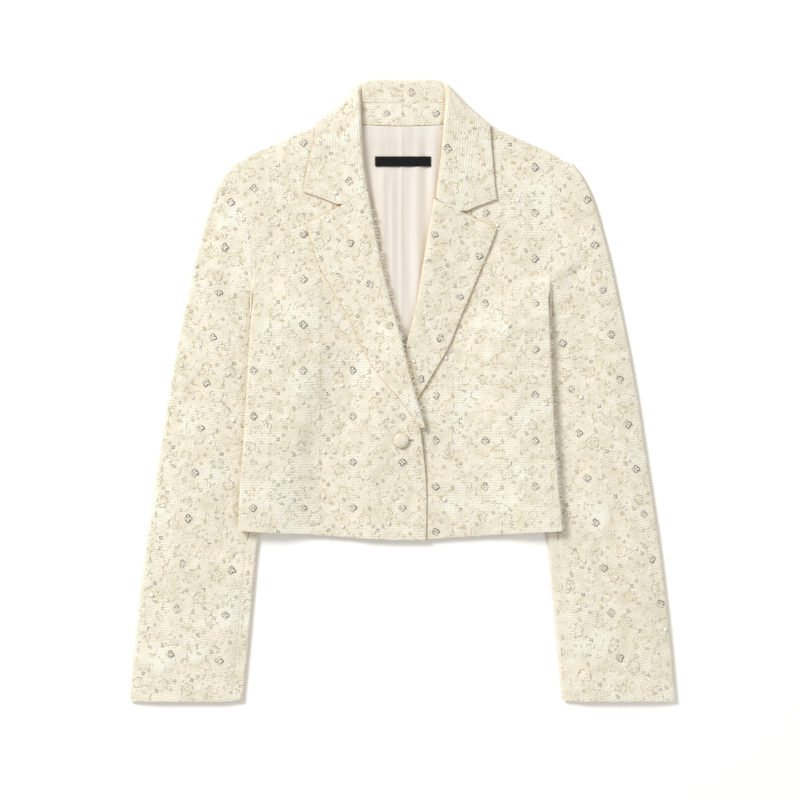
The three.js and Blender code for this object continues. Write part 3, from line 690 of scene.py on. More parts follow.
def sheet_on_back(cols, rows, half_width, top_at, bottom_at, lift):
    """A sheet that lies on the inside of the back, lifted off it by a function of the place."""
    grid = []
    for v in steps(rows):
        row = []
        for u in steps(cols):
            x = mix(-half_width, half_width, u)
            y = mix(bottom_at(x), top_at(x), v)
            row.append((x, y, back_underside(x, y) + SOLID_CLOTH + lift(x, y)))
        grid.append(row)
    return grid


def facing_dip(x):
    return FACING["bottom_y"] - FACING["dip"] * (1 - (x / FACING["half_width"]) ** 2)


def facing_grid():
    def top_at(x):
        return FACING["top_y"] + FACING["slope"] * max(abs(x) - FACING["level_to"], 0)
    return sheet_on_back(20, 6, FACING["half_width"], top_at, facing_dip, lambda x, y: SEAM_GAP + SOLID_CLOTH)


def fold_height(x, y):
    """The lengthwise folds of the lining, each fading out at its ends."""
    total = 0
    for fold in LINING_FOLDS:
        along = ease(y, fold["bottom_y"], fold["bottom_y"] + FOLD_FADE["bottom"])
        along *= 1 - ease(y, fold["top_y"] - FOLD_FADE["top"], fold["top_y"])
        total += fold["height"] * along * math.exp(-((x - fold["x"]) / fold["width"]) ** 2)
    return total


def lining_grid():
    def top_at(x):
        drop = LINING["drop"] * ease(abs(x), LINING["level_to"], LINING["half_width"])
        return facing_dip(x) - SEAM_GAP - drop
    return sheet_on_back(64, 60, LINING["half_width"], top_at, lambda x: LINING["bottom_y"],
                         lambda x, y: LINING_CLEAR + SOLID_LINING + fold_height(x, y))


def label_grid():
    rows = []
    for v in steps(6):
        y = LABEL["y"] + LABEL["height"] * (v - 0.5)
        lining_top = back_underside(0, y) + SOLID_CLOTH + LINING_CLEAR + SOLID_LINING
        top = lining_top + LABEL["lift"] + LABEL["thickness"]
        rows.append([(LABEL["width"] * (u - 0.5), y, top) for u in steps(30)])
    return rows


def sleeve_section(side, front, back, fold, front_z, y_at, cols_top, cols_under):
    """A section from a sleeve's front end over a fold and back along its underside."""
    away = math.copysign(1, fold - front)
    radius = SLEEVE_STACK / 2
    turn = fold - away * radius
    points = []
    for t in steps(cols_top):
        out = mix(front, turn, t)
        y = y_at(out)
        lying = sleeve_top(side * out, y, side)
        start = lying if front_z is None else front_z
        points.append((side * out, y, mix(start, lying, ease(abs(out - front), 0, SLEEVE_HEAD_BLEND))))
    for t in steps(5)[1:-1]:
        out = turn + away * radius * math.sin(math.pi * t)
        points.append((side * out, y_at(out), radius * (1 + math.cos(math.pi * t))))
    for t in steps(cols_under):
        out = mix(turn, back, t)
        points.append((side * out, y_at(out), 0))
    return points


def slant(row, start, end):
    """The Y of a sleeve's section, which slants from its front end to its outer fold."""
    return lambda out: mix(row["front_y"], row["outer_y"], (out - start) / (end - start))


def upper_sleeve_grid(side):
    """A sleeve's upper piece, from the armhole down to the cuff and round its outer fold."""
    rows = []
    for row in SLEEVE_HEAD_ROWS:
        edge = edge_of[side](row["front_y"])
        front = edge + (ARMHOLE_GAP if row["past_edge"] is None else row["past_edge"])
        front_z = front_top(side * edge, row["front_y"], side) if row["front_z"] is None else row["front_z"]
        fold = sleeve_outer(row["outer_y"])
        back = max(edge + ARMHOLE_GAP, front) + SLEEVE_BACK_IN
        rows.append(sleeve_section(side, front, back, fold, front_z, slant(row, front, fold), 8, 4))
    for row in SLEEVE_ROWS:
        front = sleeve_inner(row["front_y"]) + FOREARM_SEAM_IN
        fold = sleeve_outer(row["outer_y"])
        back = fold - HINDARM_SEAM_IN
        rows.append(sleeve_section(side, front, back, fold, None, slant(row, front, fold), 8, 4))
    return rows


def under_sleeve_grid(side):
    """A sleeve's under piece, from the forearm seam round its inner fold."""
    rows = []
    for row in SLEEVE_ROWS:
        fold = sleeve_inner(row["front_y"])
        seam = fold + FOREARM_SEAM_IN
        outer = sleeve_outer(row["outer_y"])
        back = outer - HINDARM_SEAM_IN - SEAM_GAP
        rows.append(sleeve_section(side, seam - SEAM_GAP, back, fold, None, slant(row, seam, outer), 2, 5))
    return rows


def refine_rows(points, spacing):
    """More rows, on centripetal Catmull-Rom curves through the rows of a (rows, cols, 3) array."""
    before = 2 * points[0] - points[1]
    after = 2 * points[-1] - points[-2]
    control = np.concatenate([before[None], points, after[None]])
    chords = np.linalg.norm(np.diff(control, axis=0), axis=2)
    knots = np.maximum(np.sqrt(chords), 1e-3)[..., None]
    result = []
    for i in range(1, len(control) - 2):
        p0, p1, p2, p3 = control[i - 1:i + 3]
        t1 = knots[i - 1]
        t2 = t1 + knots[i]
        t3 = t2 + knots[i + 1]
        count = max(1, int(round(float(chords[i].mean()) / spacing)))
        for step in range(count):
            t = t1 + (t2 - t1) * step / count
            a1 = (t1 - t) / t1 * p0 + t / t1 * p1
            a2 = (t2 - t) / (t2 - t1) * p1 + (t - t1) / (t2 - t1) * p2
            a3 = (t3 - t) / (t3 - t2) * p2 + (t - t2) / (t3 - t2) * p3
            b1 = (t2 - t) / t2 * a1 + t / t2 * a2
            b2 = (t3 - t) / (t3 - t1) * a2 + (t - t1) / (t3 - t1) * a3
            result.append((t2 - t) / (t2 - t1) * b1 + (t - t1) / (t2 - t1) * b2)
    result.append(points[-1])
    return np.array(result)


def refine(grid, spacing):
    points = refine_rows(np.array(grid, float), spacing)
    return refine_rows(points.transpose(1, 0, 2), spacing).transpose(1, 0, 2)


def normals_of(points):
    """The unit normal at each point of a (rows, cols, 3) array."""
    along = np.gradient(points, axis=0)
    across = np.gradient(points, axis=1)
    normals = np.cross(across, along)
    return normals / np.maximum(np.linalg.norm(normals, axis=2, keepdims=True), 1e-9)


def deselect_all():
    bpy.ops.object.select_all(action="DESELECT")


def relief(points, flipped, creases, seed):
    """Puckers of the embroidered cloth and its creases, on what faces up, fading out at the rims."""
    normals = normals_of(points) * (-1 if flipped else 1)
    rows, cols = points.shape[:2]
    moved = points.copy()
    for i in range(rows):
        for j in range(cols):
            up = max(0.0, normals[i, j, 2]) ** 3
            if up < FACES_UP:
                continue
            x, y = points[i, j, :2]
            rim = ease(min(i, rows - 1 - i, j, cols - 1 - j), 0, RIM_ROWS)
            place = Vector((x / PUCKER["size"], y / PUCKER["size"], seed))
            pucker = (PUCKER["height"] * noise.noise(place)
                      + PUCKER["fine_height"] * noise.noise(place * PUCKER["finer_by"]))
            moved[i, j, 2] += up * (rim * pucker + crease_height(x, y, creases))
    return moved


def crease_height(x, y, creases):
    """Soft troughs and ridges, each along a straight stretch from one end to the other."""
    total = 0
    for start_x, start_y, end_x, end_y, width, height in creases:
        along = Vector((end_x - start_x, end_y - start_y))
        length = along.length
        offset = Vector((x - start_x, y - start_y))
        t = offset.dot(along) / (length * length)
        if not 0 < t < 1:
            continue
        sideways = (offset.x * along.y - offset.y * along.x) / length
        bow = CREASE_BOW * math.sin(math.pi * t)
        total += height * math.sin(math.pi * t) * math.exp(-((sideways - bow) / width) ** 2)
    return total


def laid_out(points, across_from, grain, along_rows=False):
    """Cloth coordinates in metres: arc length along each row, and down the rows Y or arc length."""
    steps_across = np.linalg.norm(np.diff(points, axis=1), axis=2)
    across = np.concatenate([np.zeros((len(points), 1)), np.cumsum(steps_across, axis=1)], axis=1)
    across = across - across[:, across_from:across_from + 1]
    start = points[:, across_from]
    if along_rows:
        run = np.linalg.norm(np.diff(start, axis=0), axis=1)
        u = across
        v = np.concatenate([[0], np.cumsum(run)])[:, None] + np.zeros_like(across)
    else:
        towards = np.sign(points[:, -1, 0] - points[:, 0, 0]).mean()
        u = start[:, None, 0] + across * (1 if towards >= 0 else -1)
        v = points[:, :, 1]
    cos, sin = math.cos(math.radians(grain)), math.sin(math.radians(grain))
    return np.stack([u * cos + v * sin, v * cos - u * sin], axis=2) * MM


def cloth_piece(name, points, uv, flipped, thickness, material, slot, held, rests_on):
    """One sheet of cloth on its solid's form, with a thin wall, soft rims and its own cloth coordinates."""
    rows, cols = points.shape[:2]
    if flipped:
        points = points[:, ::-1]
        uv = uv[:, ::-1]
    deselect_all()
    bpy.ops.mesh.primitive_grid_add(x_subdivisions=cols - 1, y_subdivisions=rows - 1, size=1)
    piece = bpy.context.object
    piece.name = name
    piece.data.name = name
    piece.data.vertices.foreach_set("co", (points * MM).reshape(-1))
    loops = np.empty(len(piece.data.loops), int)
    piece.data.loops.foreach_get("vertex_index", loops)
    piece.data.uv_layers.active.data.foreach_set("uv", uv.reshape(-1, 2)[loops].reshape(-1))
    piece.data.materials.append(material)
    # The inner faces of boucle take a golden brown painted shade, which tints the shadows in the crevices
    piece.data.materials.append(wrong_side_shade if material is boucle else material)
    wall = piece.modifiers.new("wall", "SOLIDIFY")
    wall.thickness = thickness * MM
    wall.offset = -1
    wall.material_offset = 1
    rim = piece.modifiers.new("rim", "BEVEL")
    rim.limit_method = "ANGLE"
    rim.angle_limit = math.radians(SHARP_EDGE)
    rim.width = RIM_SHARE * thickness * MM
    rim.segments = 2
    for modifier in ("wall", "rim"):
        bpy.ops.object.modifier_apply(modifier=modifier)
    bpy.ops.object.shade_smooth()
    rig.ride(piece, "root")
    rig.replaces(piece, name.removesuffix("_cloth"))
    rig.slot(piece, slot)
    sheets.append((piece, cut_of(points), held, rests_on))


def cut_of(points):
    """The flat width, length and area of a sheet, in metres."""
    across = np.linalg.norm(np.diff(points, axis=1), axis=2).sum(axis=1)
    down = np.linalg.norm(np.diff(points, axis=0), axis=2).sum(axis=0)
    one = points[1:, 1:] - points[:-1, :-1]
    other = points[1:, :-1] - points[:-1, 1:]
    area = 0.5 * np.linalg.norm(np.cross(one, other), axis=2).sum()
    return float(across.max()) * MM, float(down.max()) * MM, float(area) * MM * MM


def principled(name, color, roughness, **sockets):
    """A new material, its node tree and its shader with these sockets set."""
    material = bpy.data.materials.new(name)
    material.use_nodes = True
    shader = material.node_tree.nodes["Principled BSDF"]
    shader.inputs["Base Color"].default_value = (*color, 1)
    shader.inputs["Roughness"].default_value = roughness
    for socket, value in sockets.items():
        shader.inputs[socket.replace("_", " ")].default_value = value
    return material, material.node_tree, shader


def add_node(tree, kind, links=(), **values):
    """A shader node, with its inputs linked from (socket, output) pairs and its settings set."""
    made = tree.nodes.new(kind)
    for name, value in values.items():
        if hasattr(made, name):
            setattr(made, name, value)
        else:
            made.inputs[name.replace("_", " ")].default_value = value
    for socket, output in links:
        tree.links.new(output, made.inputs[socket])
    return made


def millimetres(tree, source, output):
    """Object or cloth coordinates, counted in millimetres."""
    return add_node(tree, "ShaderNodeMapping", [("Vector", add_node(tree, source).outputs[output])],
                    Scale=(1 / MM, 1 / MM, 1 / MM)).outputs["Vector"]


def math_of(tree, operation, first, second):
    """A sum or product of two outputs or numbers."""
    made = tree.nodes.new("ShaderNodeMath")
    made.operation = operation
    for socket, value in zip(made.inputs, (first, second)):
        if isinstance(value, (int, float)):
            socket.default_value = value
        else:
            tree.links.new(value, socket)
    return made.outputs[0]


def mix_colors(tree, factor, first, second):
    """Goes from the first colour to the second as the factor goes from 0 to 1."""
    made = tree.nodes.new("ShaderNodeMix")
    made.data_type = "RGBA"
    tree.links.new(factor, made.inputs["Factor"])
    for socket, value in ((made.inputs["A"], first), (made.inputs["B"], second)):
        if isinstance(value, tuple):
            socket.default_value = (*value, 1)
        else:
            tree.links.new(value, socket)
    return made.outputs["Result"]


def ramp(tree, source, low, high):
    made = add_node(tree, "ShaderNodeMapRange", [("Value", source)], From_Min=low, From_Max=high)
    return made.outputs["Result"]


def speckle(tree, place, scale, detail=2.0):
    """Noise whose spots are about one over the scale in size, in millimetres."""
    made = add_node(tree, "ShaderNodeTexNoise", [("Vector", place)], Scale=scale, Detail=detail)
    return made.outputs["Fac"]


def ribs_across(tree, place, pitch, **values):
    """Ribs that lie across the cloth, this far apart."""
    return add_node(tree, "ShaderNodeTexWave", [("Vector", place)], bands_direction="Y",
                    Scale=WAVE_PITCH / pitch, **values).outputs["Fac"]


def bump(tree, shader, height, distance, strength):
    made = add_node(tree, "ShaderNodeBump", [("Height", height)], Distance=distance, Strength=strength)
    tree.links.new(made.outputs["Normal"], shader.inputs["Normal"])


def painted_crevice_shade(tree, reach, color, shade_tint, low, high):
    """Painted shade: a golden brown painted into cream cloth where other cloth lies close beside it or over it."""
    open_there = add_node(tree, "ShaderNodeAmbientOcclusion", samples=CREVICE_SHADE_SAMPLES, Distance=reach * MM)
    return mix_colors(tree, ramp(tree, open_there.outputs["AO"], low, high), shade_tint, color)


def boucle_material(name, source, output):
    """Cream boucle: crosswise ribs that come and go, looped nubs, soft puckers and a few darker flecks, with painted
    shade in the low parts of its relief and a golden brown painted shade where other cloth lies close.
    """
    material, tree, shader = principled(name, CREAM, 0.86, Sheen_Weight=0.25, Sheen_Roughness=0.5,
                                        Specular_IOR_Level=0.25)
    place = millimetres(tree, source, output)
    ribs = ribs_across(tree, place, RIB_PITCH, Distortion=3.4, Detail=2.0, Detail_Scale=0.16)
    nubs = add_node(tree, "ShaderNodeTexVoronoi", [("Vector", place)], feature="SMOOTH_F1",
                    Scale=0.62).outputs["Distance"]
    crinkle = speckle(tree, place, 0.42, 3.0)
    pucker = speckle(tree, place, 0.085, 2.0)
    ribbed = math_of(tree, "MULTIPLY", ribs, ramp(tree, speckle(tree, place, 0.022), 0.4, 0.62))
    raised = [math_of(tree, "MULTIPLY", layer, share)
              for layer, share in ((ribbed, 0.55), (nubs, -0.7), (crinkle, 1.1), (pucker, 1.6))]
    height = math_of(tree, "ADD", math_of(tree, "ADD", *raised[:2]), math_of(tree, "ADD", *raised[2:]))
    # Painted shade: the low parts of the relief are painted darker
    valley_shade_mask = ramp(tree, height, 0.8, 1.7)
    ground = mix_colors(tree, valley_shade_mask, VALLEY_PAINTED_SHADE, CREAM)
    warm = mix_colors(tree, ramp(tree, speckle(tree, place, 0.03), 0.55, 0.75), ground, WARM_CREAM)
    cool = mix_colors(tree, ramp(tree, speckle(tree, place, 0.02), 0.56, 0.7), warm, COOL_CREAM)
    flecked = mix_colors(tree, ramp(tree, speckle(tree, place, 0.55, 1.0), 0.7, 0.78), cool, OLIVE_FLECK)
    # Painted shade: golden brown where other cloth lies close beside or over the boucle
    color = painted_crevice_shade(tree, CREVICE_REACH, flecked, CREVICE_PAINTED_SHADE, *CREVICE_OPEN)
    tree.links.new(color, shader.inputs["Base Color"])
    bump(tree, shader, height, 0.9 * MM, 0.62)
    return material


def satin_material():
    """Off-white satin: a soft sheen along the cloth, with fine lengthwise yarns, long bands of painted fold shade and
    a warm painted shade where other cloth lies close.
    """
    material, tree, shader = principled("lining_satin", SATIN, 0.36, Specular_IOR_Level=0.55,
                                        Sheen_Weight=0.15)
    place = millimetres(tree, "ShaderNodeUVMap", "UV")
    stretched = add_node(tree, "ShaderNodeMapping", [("Vector", place)], Scale=(1, 0.05, 1)).outputs["Vector"]
    yarns = speckle(tree, stretched, 1.6, 2.0)
    # Painted shade: long darker pinkish beige bands stand in for the shade of the lining's folds
    shade = mix_colors(tree, ramp(tree, speckle(tree, stretched, 0.09), 0.35, 0.65), SATIN, SATIN_FOLD_PAINTED_SHADE)
    # Painted shade: a warm tint where other cloth lies close over the lining
    color = painted_crevice_shade(tree, LINING_REACH, shade, SATIN_CREVICE_PAINTED_SHADE, *LINING_OPEN)
    tree.links.new(color, shader.inputs["Base Color"])
    bump(tree, shader, yarns, 0.12 * MM, 0.5)
    return material


def thread_material(name, color):
    """Twisted thread, with painted shade between its plies."""
    material, tree, shader = principled(name, color, 0.62, Sheen_Weight=0.3, Specular_IOR_Level=0.4)
    place = millimetres(tree, "ShaderNodeTexCoord", "Object")
    plies = speckle(tree, place, 1.3, 2.0)
    # Painted shade: four fifths of the colour between the plies
    darker = tuple(0.8 * c for c in color)
    tree.links.new(mix_colors(tree, ramp(tree, plies, 0.3, 0.6), darker, color), shader.inputs["Base Color"])
    bump(tree, shader, plies, 0.3 * MM, 0.6)
    return material


def glass_sequin_material(name, color, other, roughness, metallic):
    """Tiny sequins, each catching the light a little differently."""
    material, tree, shader = principled(name, color, roughness, Metallic=metallic, Coat_Weight=0.6,
                                        Coat_Roughness=0.08)
    place = millimetres(tree, "ShaderNodeTexCoord", "Object")
    glint = speckle(tree, place, 0.45, 1.0)
    tree.links.new(mix_colors(tree, ramp(tree, glint, 0.38, 0.62), color, other), shader.inputs["Base Color"])
    bump(tree, shader, speckle(tree, place, 1.4, 1.0), 0.4 * MM, 0.5)
    return material


def label_material():
    """Black woven ribbon with fine ribs, and softly lighter edges of its yarns where they are raised, a painted
    highlight.
    """
    material, tree, shader = principled("black_ribbon", BLACK, 0.7, Specular_IOR_Level=0.12)
    place = millimetres(tree, "ShaderNodeUVMap", "UV")
    ribs = ribs_across(tree, place, LABEL["rib_pitch"], Distortion=0.6)
    height = math_of(tree, "ADD", ribs, speckle(tree, place, 2.5, 2.0))
    # Painted highlight: the raised parts of the ribs are a little lighter
    color = mix_colors(tree, ramp(tree, height, 0.6, 1.5), BLACK, BLACK_YARN)
    tree.links.new(color, shader.inputs["Base Color"])
    bump(tree, shader, height, 0.12 * MM, 0.6)
    return material


def make_boucle_cloth():
    """Every piece cut from the boucle, in the order of sewing."""
    boucle_sheet("back", back_grid(), True, 20, 0, "laid", [])
    for side, word in ((RIGHT, "right"), (LEFT, "left")):
        right = side == RIGHT
        grain = SLEEVE_GRAIN[side]
        front, under = f"front_{word}", f"sleeve_{word}_under"
        boucle_sheet(front, front_grid(side), right, 6, 0, "laid", ["back_cloth"])
        boucle_sheet(f"side_{word}", side_grid(side), not right, 0, 0, "folded", ["back_cloth"])
        boucle_sheet(f"lapel_{word}", lapel_grid(side), right, 8, LAPEL_GRAIN * -side, "folded",
                     [f"{front}_cloth"])
        boucle_sheet(f"sleeve_{word}_upper", upper_sleeve_grid(side), not right, 0, grain, "laid",
                     [f"{under}_cloth"])
        boucle_sheet(under, under_sleeve_grid(side), right, 0, grain, "folded", [])
    boucle_sheet("collar", collar_grid(), True, 3, 90, "folded", ["back_cloth"], along_rows=True)
    boucle_sheet("back_facing", facing_grid(), False, 10, 0, "laid", ["back_cloth"])


def boucle_sheet(node, grid, flipped, across_from, grain, held, rests_on, along_rows=False):
    """One piece cut from the boucle, with its puckers and creases, and nowhere below the floor."""
    points = refine(grid, SPACING)
    if node == "collar":
        points[:, :, 2] = np.maximum(points[:, :, 2], 0)
    uv = laid_out(points, min(across_from, points.shape[1] - 1), grain, along_rows)
    if node not in FLAT_NODES:
        points = relief(points, flipped, CREASES.get(node, ()), len(sheets))
        points[:, :, 2] = np.maximum(points[:, :, 2], 0)
    cloth_piece(f"{node}_cloth", points, uv, flipped, CLOTH, boucle, "boucle", held, rests_on)


def plain_sheet(name, grid, thickness, material, slot, under):
    """The lining or the label, which lies flat without puckers of its own."""
    points = refine(grid, SPACING)
    cloth_piece(name, points, laid_out(points, 0, 0), False, thickness, material, slot, "laid", [under])


def make_button():
    """A flat-domed button covered in the same boucle, drawn in to a short shank under it."""
    low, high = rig.box("button")
    x, y = BUTTON["x"] * MM, BUTTON["y"] * MM
    seat = high[2] - (BUTTON["height"] - BUTTON["rim"]) * MM
    deselect_all()
    bpy.ops.mesh.primitive_uv_sphere_add(segments=64, ring_count=32, radius=BUTTON["radius"] * MM)
    dome = bpy.context.object
    for vertex in dome.data.vertices:
        out = min(math.hypot(vertex.co.x, vertex.co.y) / (BUTTON["radius"] * MM), 1)
        height = (1 - out ** 2.6) ** 0.5 if vertex.co.z > 0 else -BUTTON["under"] * (1 - out ** 4)
        angle = math.atan2(vertex.co.y, vertex.co.x)
        gathers = BUTTON["gather"] * math.sin(BUTTON["gathers"] * angle) * max(0, -height)
        vertex.co.z = (height + gathers) * (BUTTON["height"] - BUTTON["flattened"]) * MM
    dome.location = (x, y, seat)
    deselect_all()
    bpy.ops.mesh.primitive_cylinder_add(vertices=24, radius=BUTTON["shank"] * MM, depth=seat - low[2],
                                        location=(x, y, (seat + low[2]) / 2))
    shank = bpy.context.object
    dome.select_set(True)
    shank.select_set(True)
    bpy.context.view_layer.objects.active = dome
    bpy.ops.object.join()
    dome.name = dome.data.name = "button_covered"
    bpy.ops.object.transform_apply(location=True, rotation=True, scale=True)
    bpy.ops.object.shade_smooth()
    dome.data.materials.append(button_boucle)
    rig.ride(dome, "root")
    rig.replaces(dome, "button")
    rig.slot(dome, "boucle")


def cut_buttonhole():
    """Cuts the slit of the buttonhole and its round end, where the shank of the button sits."""
    front = bpy.data.objects["front_right_cloth"]
    x, y = BUTTON["x"] * MM, BUTTON["y"] * MM
    reach, slit, depth = (BUTTONHOLE[name] * MM for name in ("reach", "slit", "cutter"))
    cutters = []
    deselect_all()
    bpy.ops.mesh.primitive_cylinder_add(vertices=24, radius=BUTTONHOLE["round"] * MM, depth=depth,
                                        location=(x, y, 0))
    cutters.append(bpy.context.object)
    bpy.ops.mesh.primitive_cube_add(size=1, location=(x + reach / 2, y, 0), scale=(reach, slit, depth))
    cutters.append(bpy.context.object)
    bpy.context.view_layer.objects.active = front
    for cutter in cutters:
        cut = front.modifiers.new("cut", "BOOLEAN")
        cut.operation = "DIFFERENCE"
        cut.solver = "EXACT"
        cut.object = cutter
        bpy.ops.object.modifier_apply(modifier="cut")
        bpy.data.objects.remove(cutter)
    deselect_all()
    front.select_set(True)
    bpy.ops.object.shade_smooth_by_angle(angle=math.radians(SHARP_EDGE))


def stitches(strokes, owner, radius, finish, find):
    """Short threads, each along the places of one stroke, where all of it lies on one piece of cloth."""
    made = []
    for stroke in strokes:
        hits = [find(x, y, True) for x, y in stroke]
        if all(hit and hit[0] == owner for hit in hits):
            made.append(thread([hit[1] for hit in hits], [hit[2] for hit in hits], radius, finish, 5))
    return made


def buttonhole_strokes():
    """Close stitches along both edges of the slit, and a bar across its end."""
    half = BUTTONHOLE["slit"] / 2
    start = BUTTON["x"] + BUTTONHOLE["round"]
    end = BUTTON["x"] + BUTTONHOLE["reach"]
    for x in np.arange(start, end, BUTTONHOLE["pitch"]):
        for away in (-1, 1):
            yield [(x, BUTTON["y"] + away * (half + BUTTONHOLE["bite"] * t)) for t in (0.15, 0.6, 1)]
    for past in BUTTONHOLE["bars"]:
        yield [(end + past, BUTTON["y"] + (half + BUTTONHOLE["bar_past"]) * t) for t in (-1, 0, 1)]


def label_strokes():
    """Three small stitches at each end of the label."""
    for side in (RIGHT, LEFT):
        x = side * (LABEL["width"] / 2 - LABEL_STITCH["from_end"])
        for row in (-1, 0, 1):
            y = LABEL["y"] + row * LABEL_STITCH["pitch"]
            yield [(x, y + LABEL_STITCH["half"] * t) for t in (-1, 0, 1)]


def cloth_finder():
    """Finds the piece of cloth that shows at a place in plan, from above or from below."""
    corners, faces, owners = [], [], []
    for piece, *_ in sheets:
        first = len(corners)
        corners.extend(vertex.co.copy() for vertex in piece.data.vertices)
        for face in piece.data.polygons:
            faces.append([first + corner for corner in face.vertices])
            owners.append(piece.name)
    tree = BVHTree.FromPolygons(corners, faces)

    def find(x, y, above):
        up = 1 if above else -1
        start = Vector((x * MM, y * MM, up * LOOK_FROM * MM))
        place, normal, face, _ = tree.ray_cast(start, Vector((0, 0, -up)))
        if place is None:
            return None
        return owners[face], place / MM, normal if normal.z * up >= 0 else -normal

    return find


def turned_place(x, y, u, v, turned):
    """The place that lies u along and v across a turned direction from a first place."""
    return x + u * math.cos(turned) - v * math.sin(turned), y + u * math.sin(turned) + v * math.cos(turned)


def lattice_places(piece, above):
    """Each large or small sequin group in one piece's own lattice: whether it is large, and its place."""
    x, y, angle = LATTICES[piece] if above else UNDERSIDE_LATTICE
    for i in range(-LATTICE_REACH, LATTICE_REACH + 1):
        for j in range(-LATTICE_REACH, LATTICE_REACH + 1):
            for large, shift in ((True, 0.0), (False, 0.5)):
                u, v = (i + shift) * LATTICE_X, (j + shift) * LATTICE_Y
                yield large, *turned_place(x, y, u, v, math.radians(angle)), math.radians(angle)


def place_on(place, normal, turned, size=1.0, tilt=(0.0, 0.0)):
    """A matrix that stands a small model on the cloth, turned in its plane and tilted a little."""
    up = normal.normalized()
    along = Vector((math.cos(turned), math.sin(turned), 0))
    along = (along - up * along.dot(up)).normalized()
    across = up.cross(along)
    up = (up + along * tilt[0] + across * tilt[1]).normalized()
    across = up.cross(along).normalized()
    along = across.cross(up)
    matrix = np.eye(4)
    for column_at, axis in enumerate((along, across, up)):
        matrix[:3, column_at] = np.array(axis) * size
    matrix[:3, 3] = place
    return matrix


def small_model(finish):
    """Takes the mesh of what is selected, as corners in millimetres, faces and finishes, and removes it."""
    bpy.ops.object.transform_apply(location=True, scale=True)
    made = bpy.context.object
    corners = np.array([vertex.co[:] for vertex in made.data.vertices])
    faces = [tuple(face.vertices) for face in made.data.polygons]
    bpy.data.objects.remove(made)
    return corners, faces, [finish] * len(faces)


def lobe_model(rim):
    """One sequin of a four-lobed group: a cupped disc, with a crimped rim open towards the middle."""
    deselect_all()
    bpy.ops.mesh.primitive_uv_sphere_add(segments=10, ring_count=5, radius=LOBE["disc"],
                                         location=(LOBE["out"], 0, LOBE["disc_up"]),
                                         scale=(1, 1, LOBE["flat"]))
    disc = small_model("silver")
    bpy.ops.mesh.primitive_torus_add(major_segments=15, minor_segments=5, major_radius=LOBE["rim"],
                                     minor_radius=LOBE["wire"], location=(LOBE["out"], 0, LOBE["rim_up"]))
    bpy.ops.object.transform_apply(location=True)
    bpy.ops.object.mode_set(mode="EDIT")
    bpy.ops.mesh.select_all(action="DESELECT")
    open_rim = bmesh.from_edit_mesh(bpy.context.object.data)
    for face in open_rim.faces:
        middle = face.calc_center_median()
        face.select = abs(math.atan2(middle.y, middle.x - LOBE["out"])) > math.radians(LOBE["open_from"])
    bmesh.update_edit_mesh(bpy.context.object.data)
    bpy.ops.mesh.delete(type="FACE")
    bpy.ops.mesh.select_all(action="SELECT")
    bpy.ops.mesh.region_to_loop()
    bpy.ops.mesh.fill()
    bpy.ops.object.mode_set(mode="OBJECT")
    return merged([disc, small_model(rim)])


def bead_model(finish):
    """One small bead, a little flattened."""
    deselect_all()
    bpy.ops.mesh.primitive_uv_sphere_add(segments=8, ring_count=6, radius=BEAD["radius"],
                                         location=(0, 0, BEAD["up"]), scale=(1, 1, BEAD["flat"]))
    return small_model(finish)


def large_group(matrix, rng):
    """Four lobes in a cross, each with its own tilt, with brighter lobes painted on the side that faces the window as
    a painted highlight.
    """
    parts = []
    for quarter, shares in enumerate(RIM_SHARES):
        lobe = rng.choices([lobes["dark"], lobes["mid"], lobes["silver"]], shares)[0]
        turn = quarter * math.pi / 2 + rng.uniform(-0.14, 0.14)
        lift = (0, 0, rng.uniform(0, 0.15))
        facing = Vector((rng.uniform(-0.12, 0.12), rng.uniform(-0.12, 0.12), 1))
        parts.append(placed(lobe, matrix @ place_on(lift, facing, turn, rng.uniform(0.9, 1.05))))
    return parts


def small_group(matrix, rng):
    """Four beads in a square, some of them brighter, and now and then one lost."""
    parts = []
    for x, y in ((-1, -1), (1, -1), (-1, 1), (1, 1)):
        if rng.random() < BEAD["lost"]:
            continue
        bead = rng.choices([beads["dark"], beads["mid"]], (3, 1))[0]
        shift = np.eye(4)
        shift[:2, 3] = BEAD["out"] * x + rng.uniform(-0.2, 0.2), BEAD["out"] * y + rng.uniform(-0.2, 0.2)
        parts.append(placed(bead, matrix @ shift))
    return parts


def pailette_model():
    """One flat white sequin, a little cupped."""
    deselect_all()
    bpy.ops.mesh.primitive_cylinder_add(vertices=12, radius=PAILETTE["radius"], depth=PAILETTE["thickness"],
                                        location=(0, 0, PAILETTE["up"]), end_fill_type="TRIFAN")
    for vertex in bpy.context.object.data.vertices:
        vertex.co.z += PAILETTE["cup"] * (vertex.co.x ** 2 + vertex.co.y ** 2) / PAILETTE["radius"]
    return small_model("pearl")


def merged(models):
    """Several small models as one, with their corners counted on."""
    corners, faces, finishes = [], [], []
    first = 0
    for points, polygons, names in models:
        corners.append(points)
        faces.extend(tuple(first + corner for corner in face) for face in polygons)
        finishes.extend(names)
        first += len(points)
    return np.concatenate(corners), faces, finishes


def placed(model, matrix):
    """A copy of a small model, moved and turned by a matrix."""
    corners, faces, finishes = model
    return corners @ matrix[:3, :3].T + matrix[:3, 3], faces, finishes


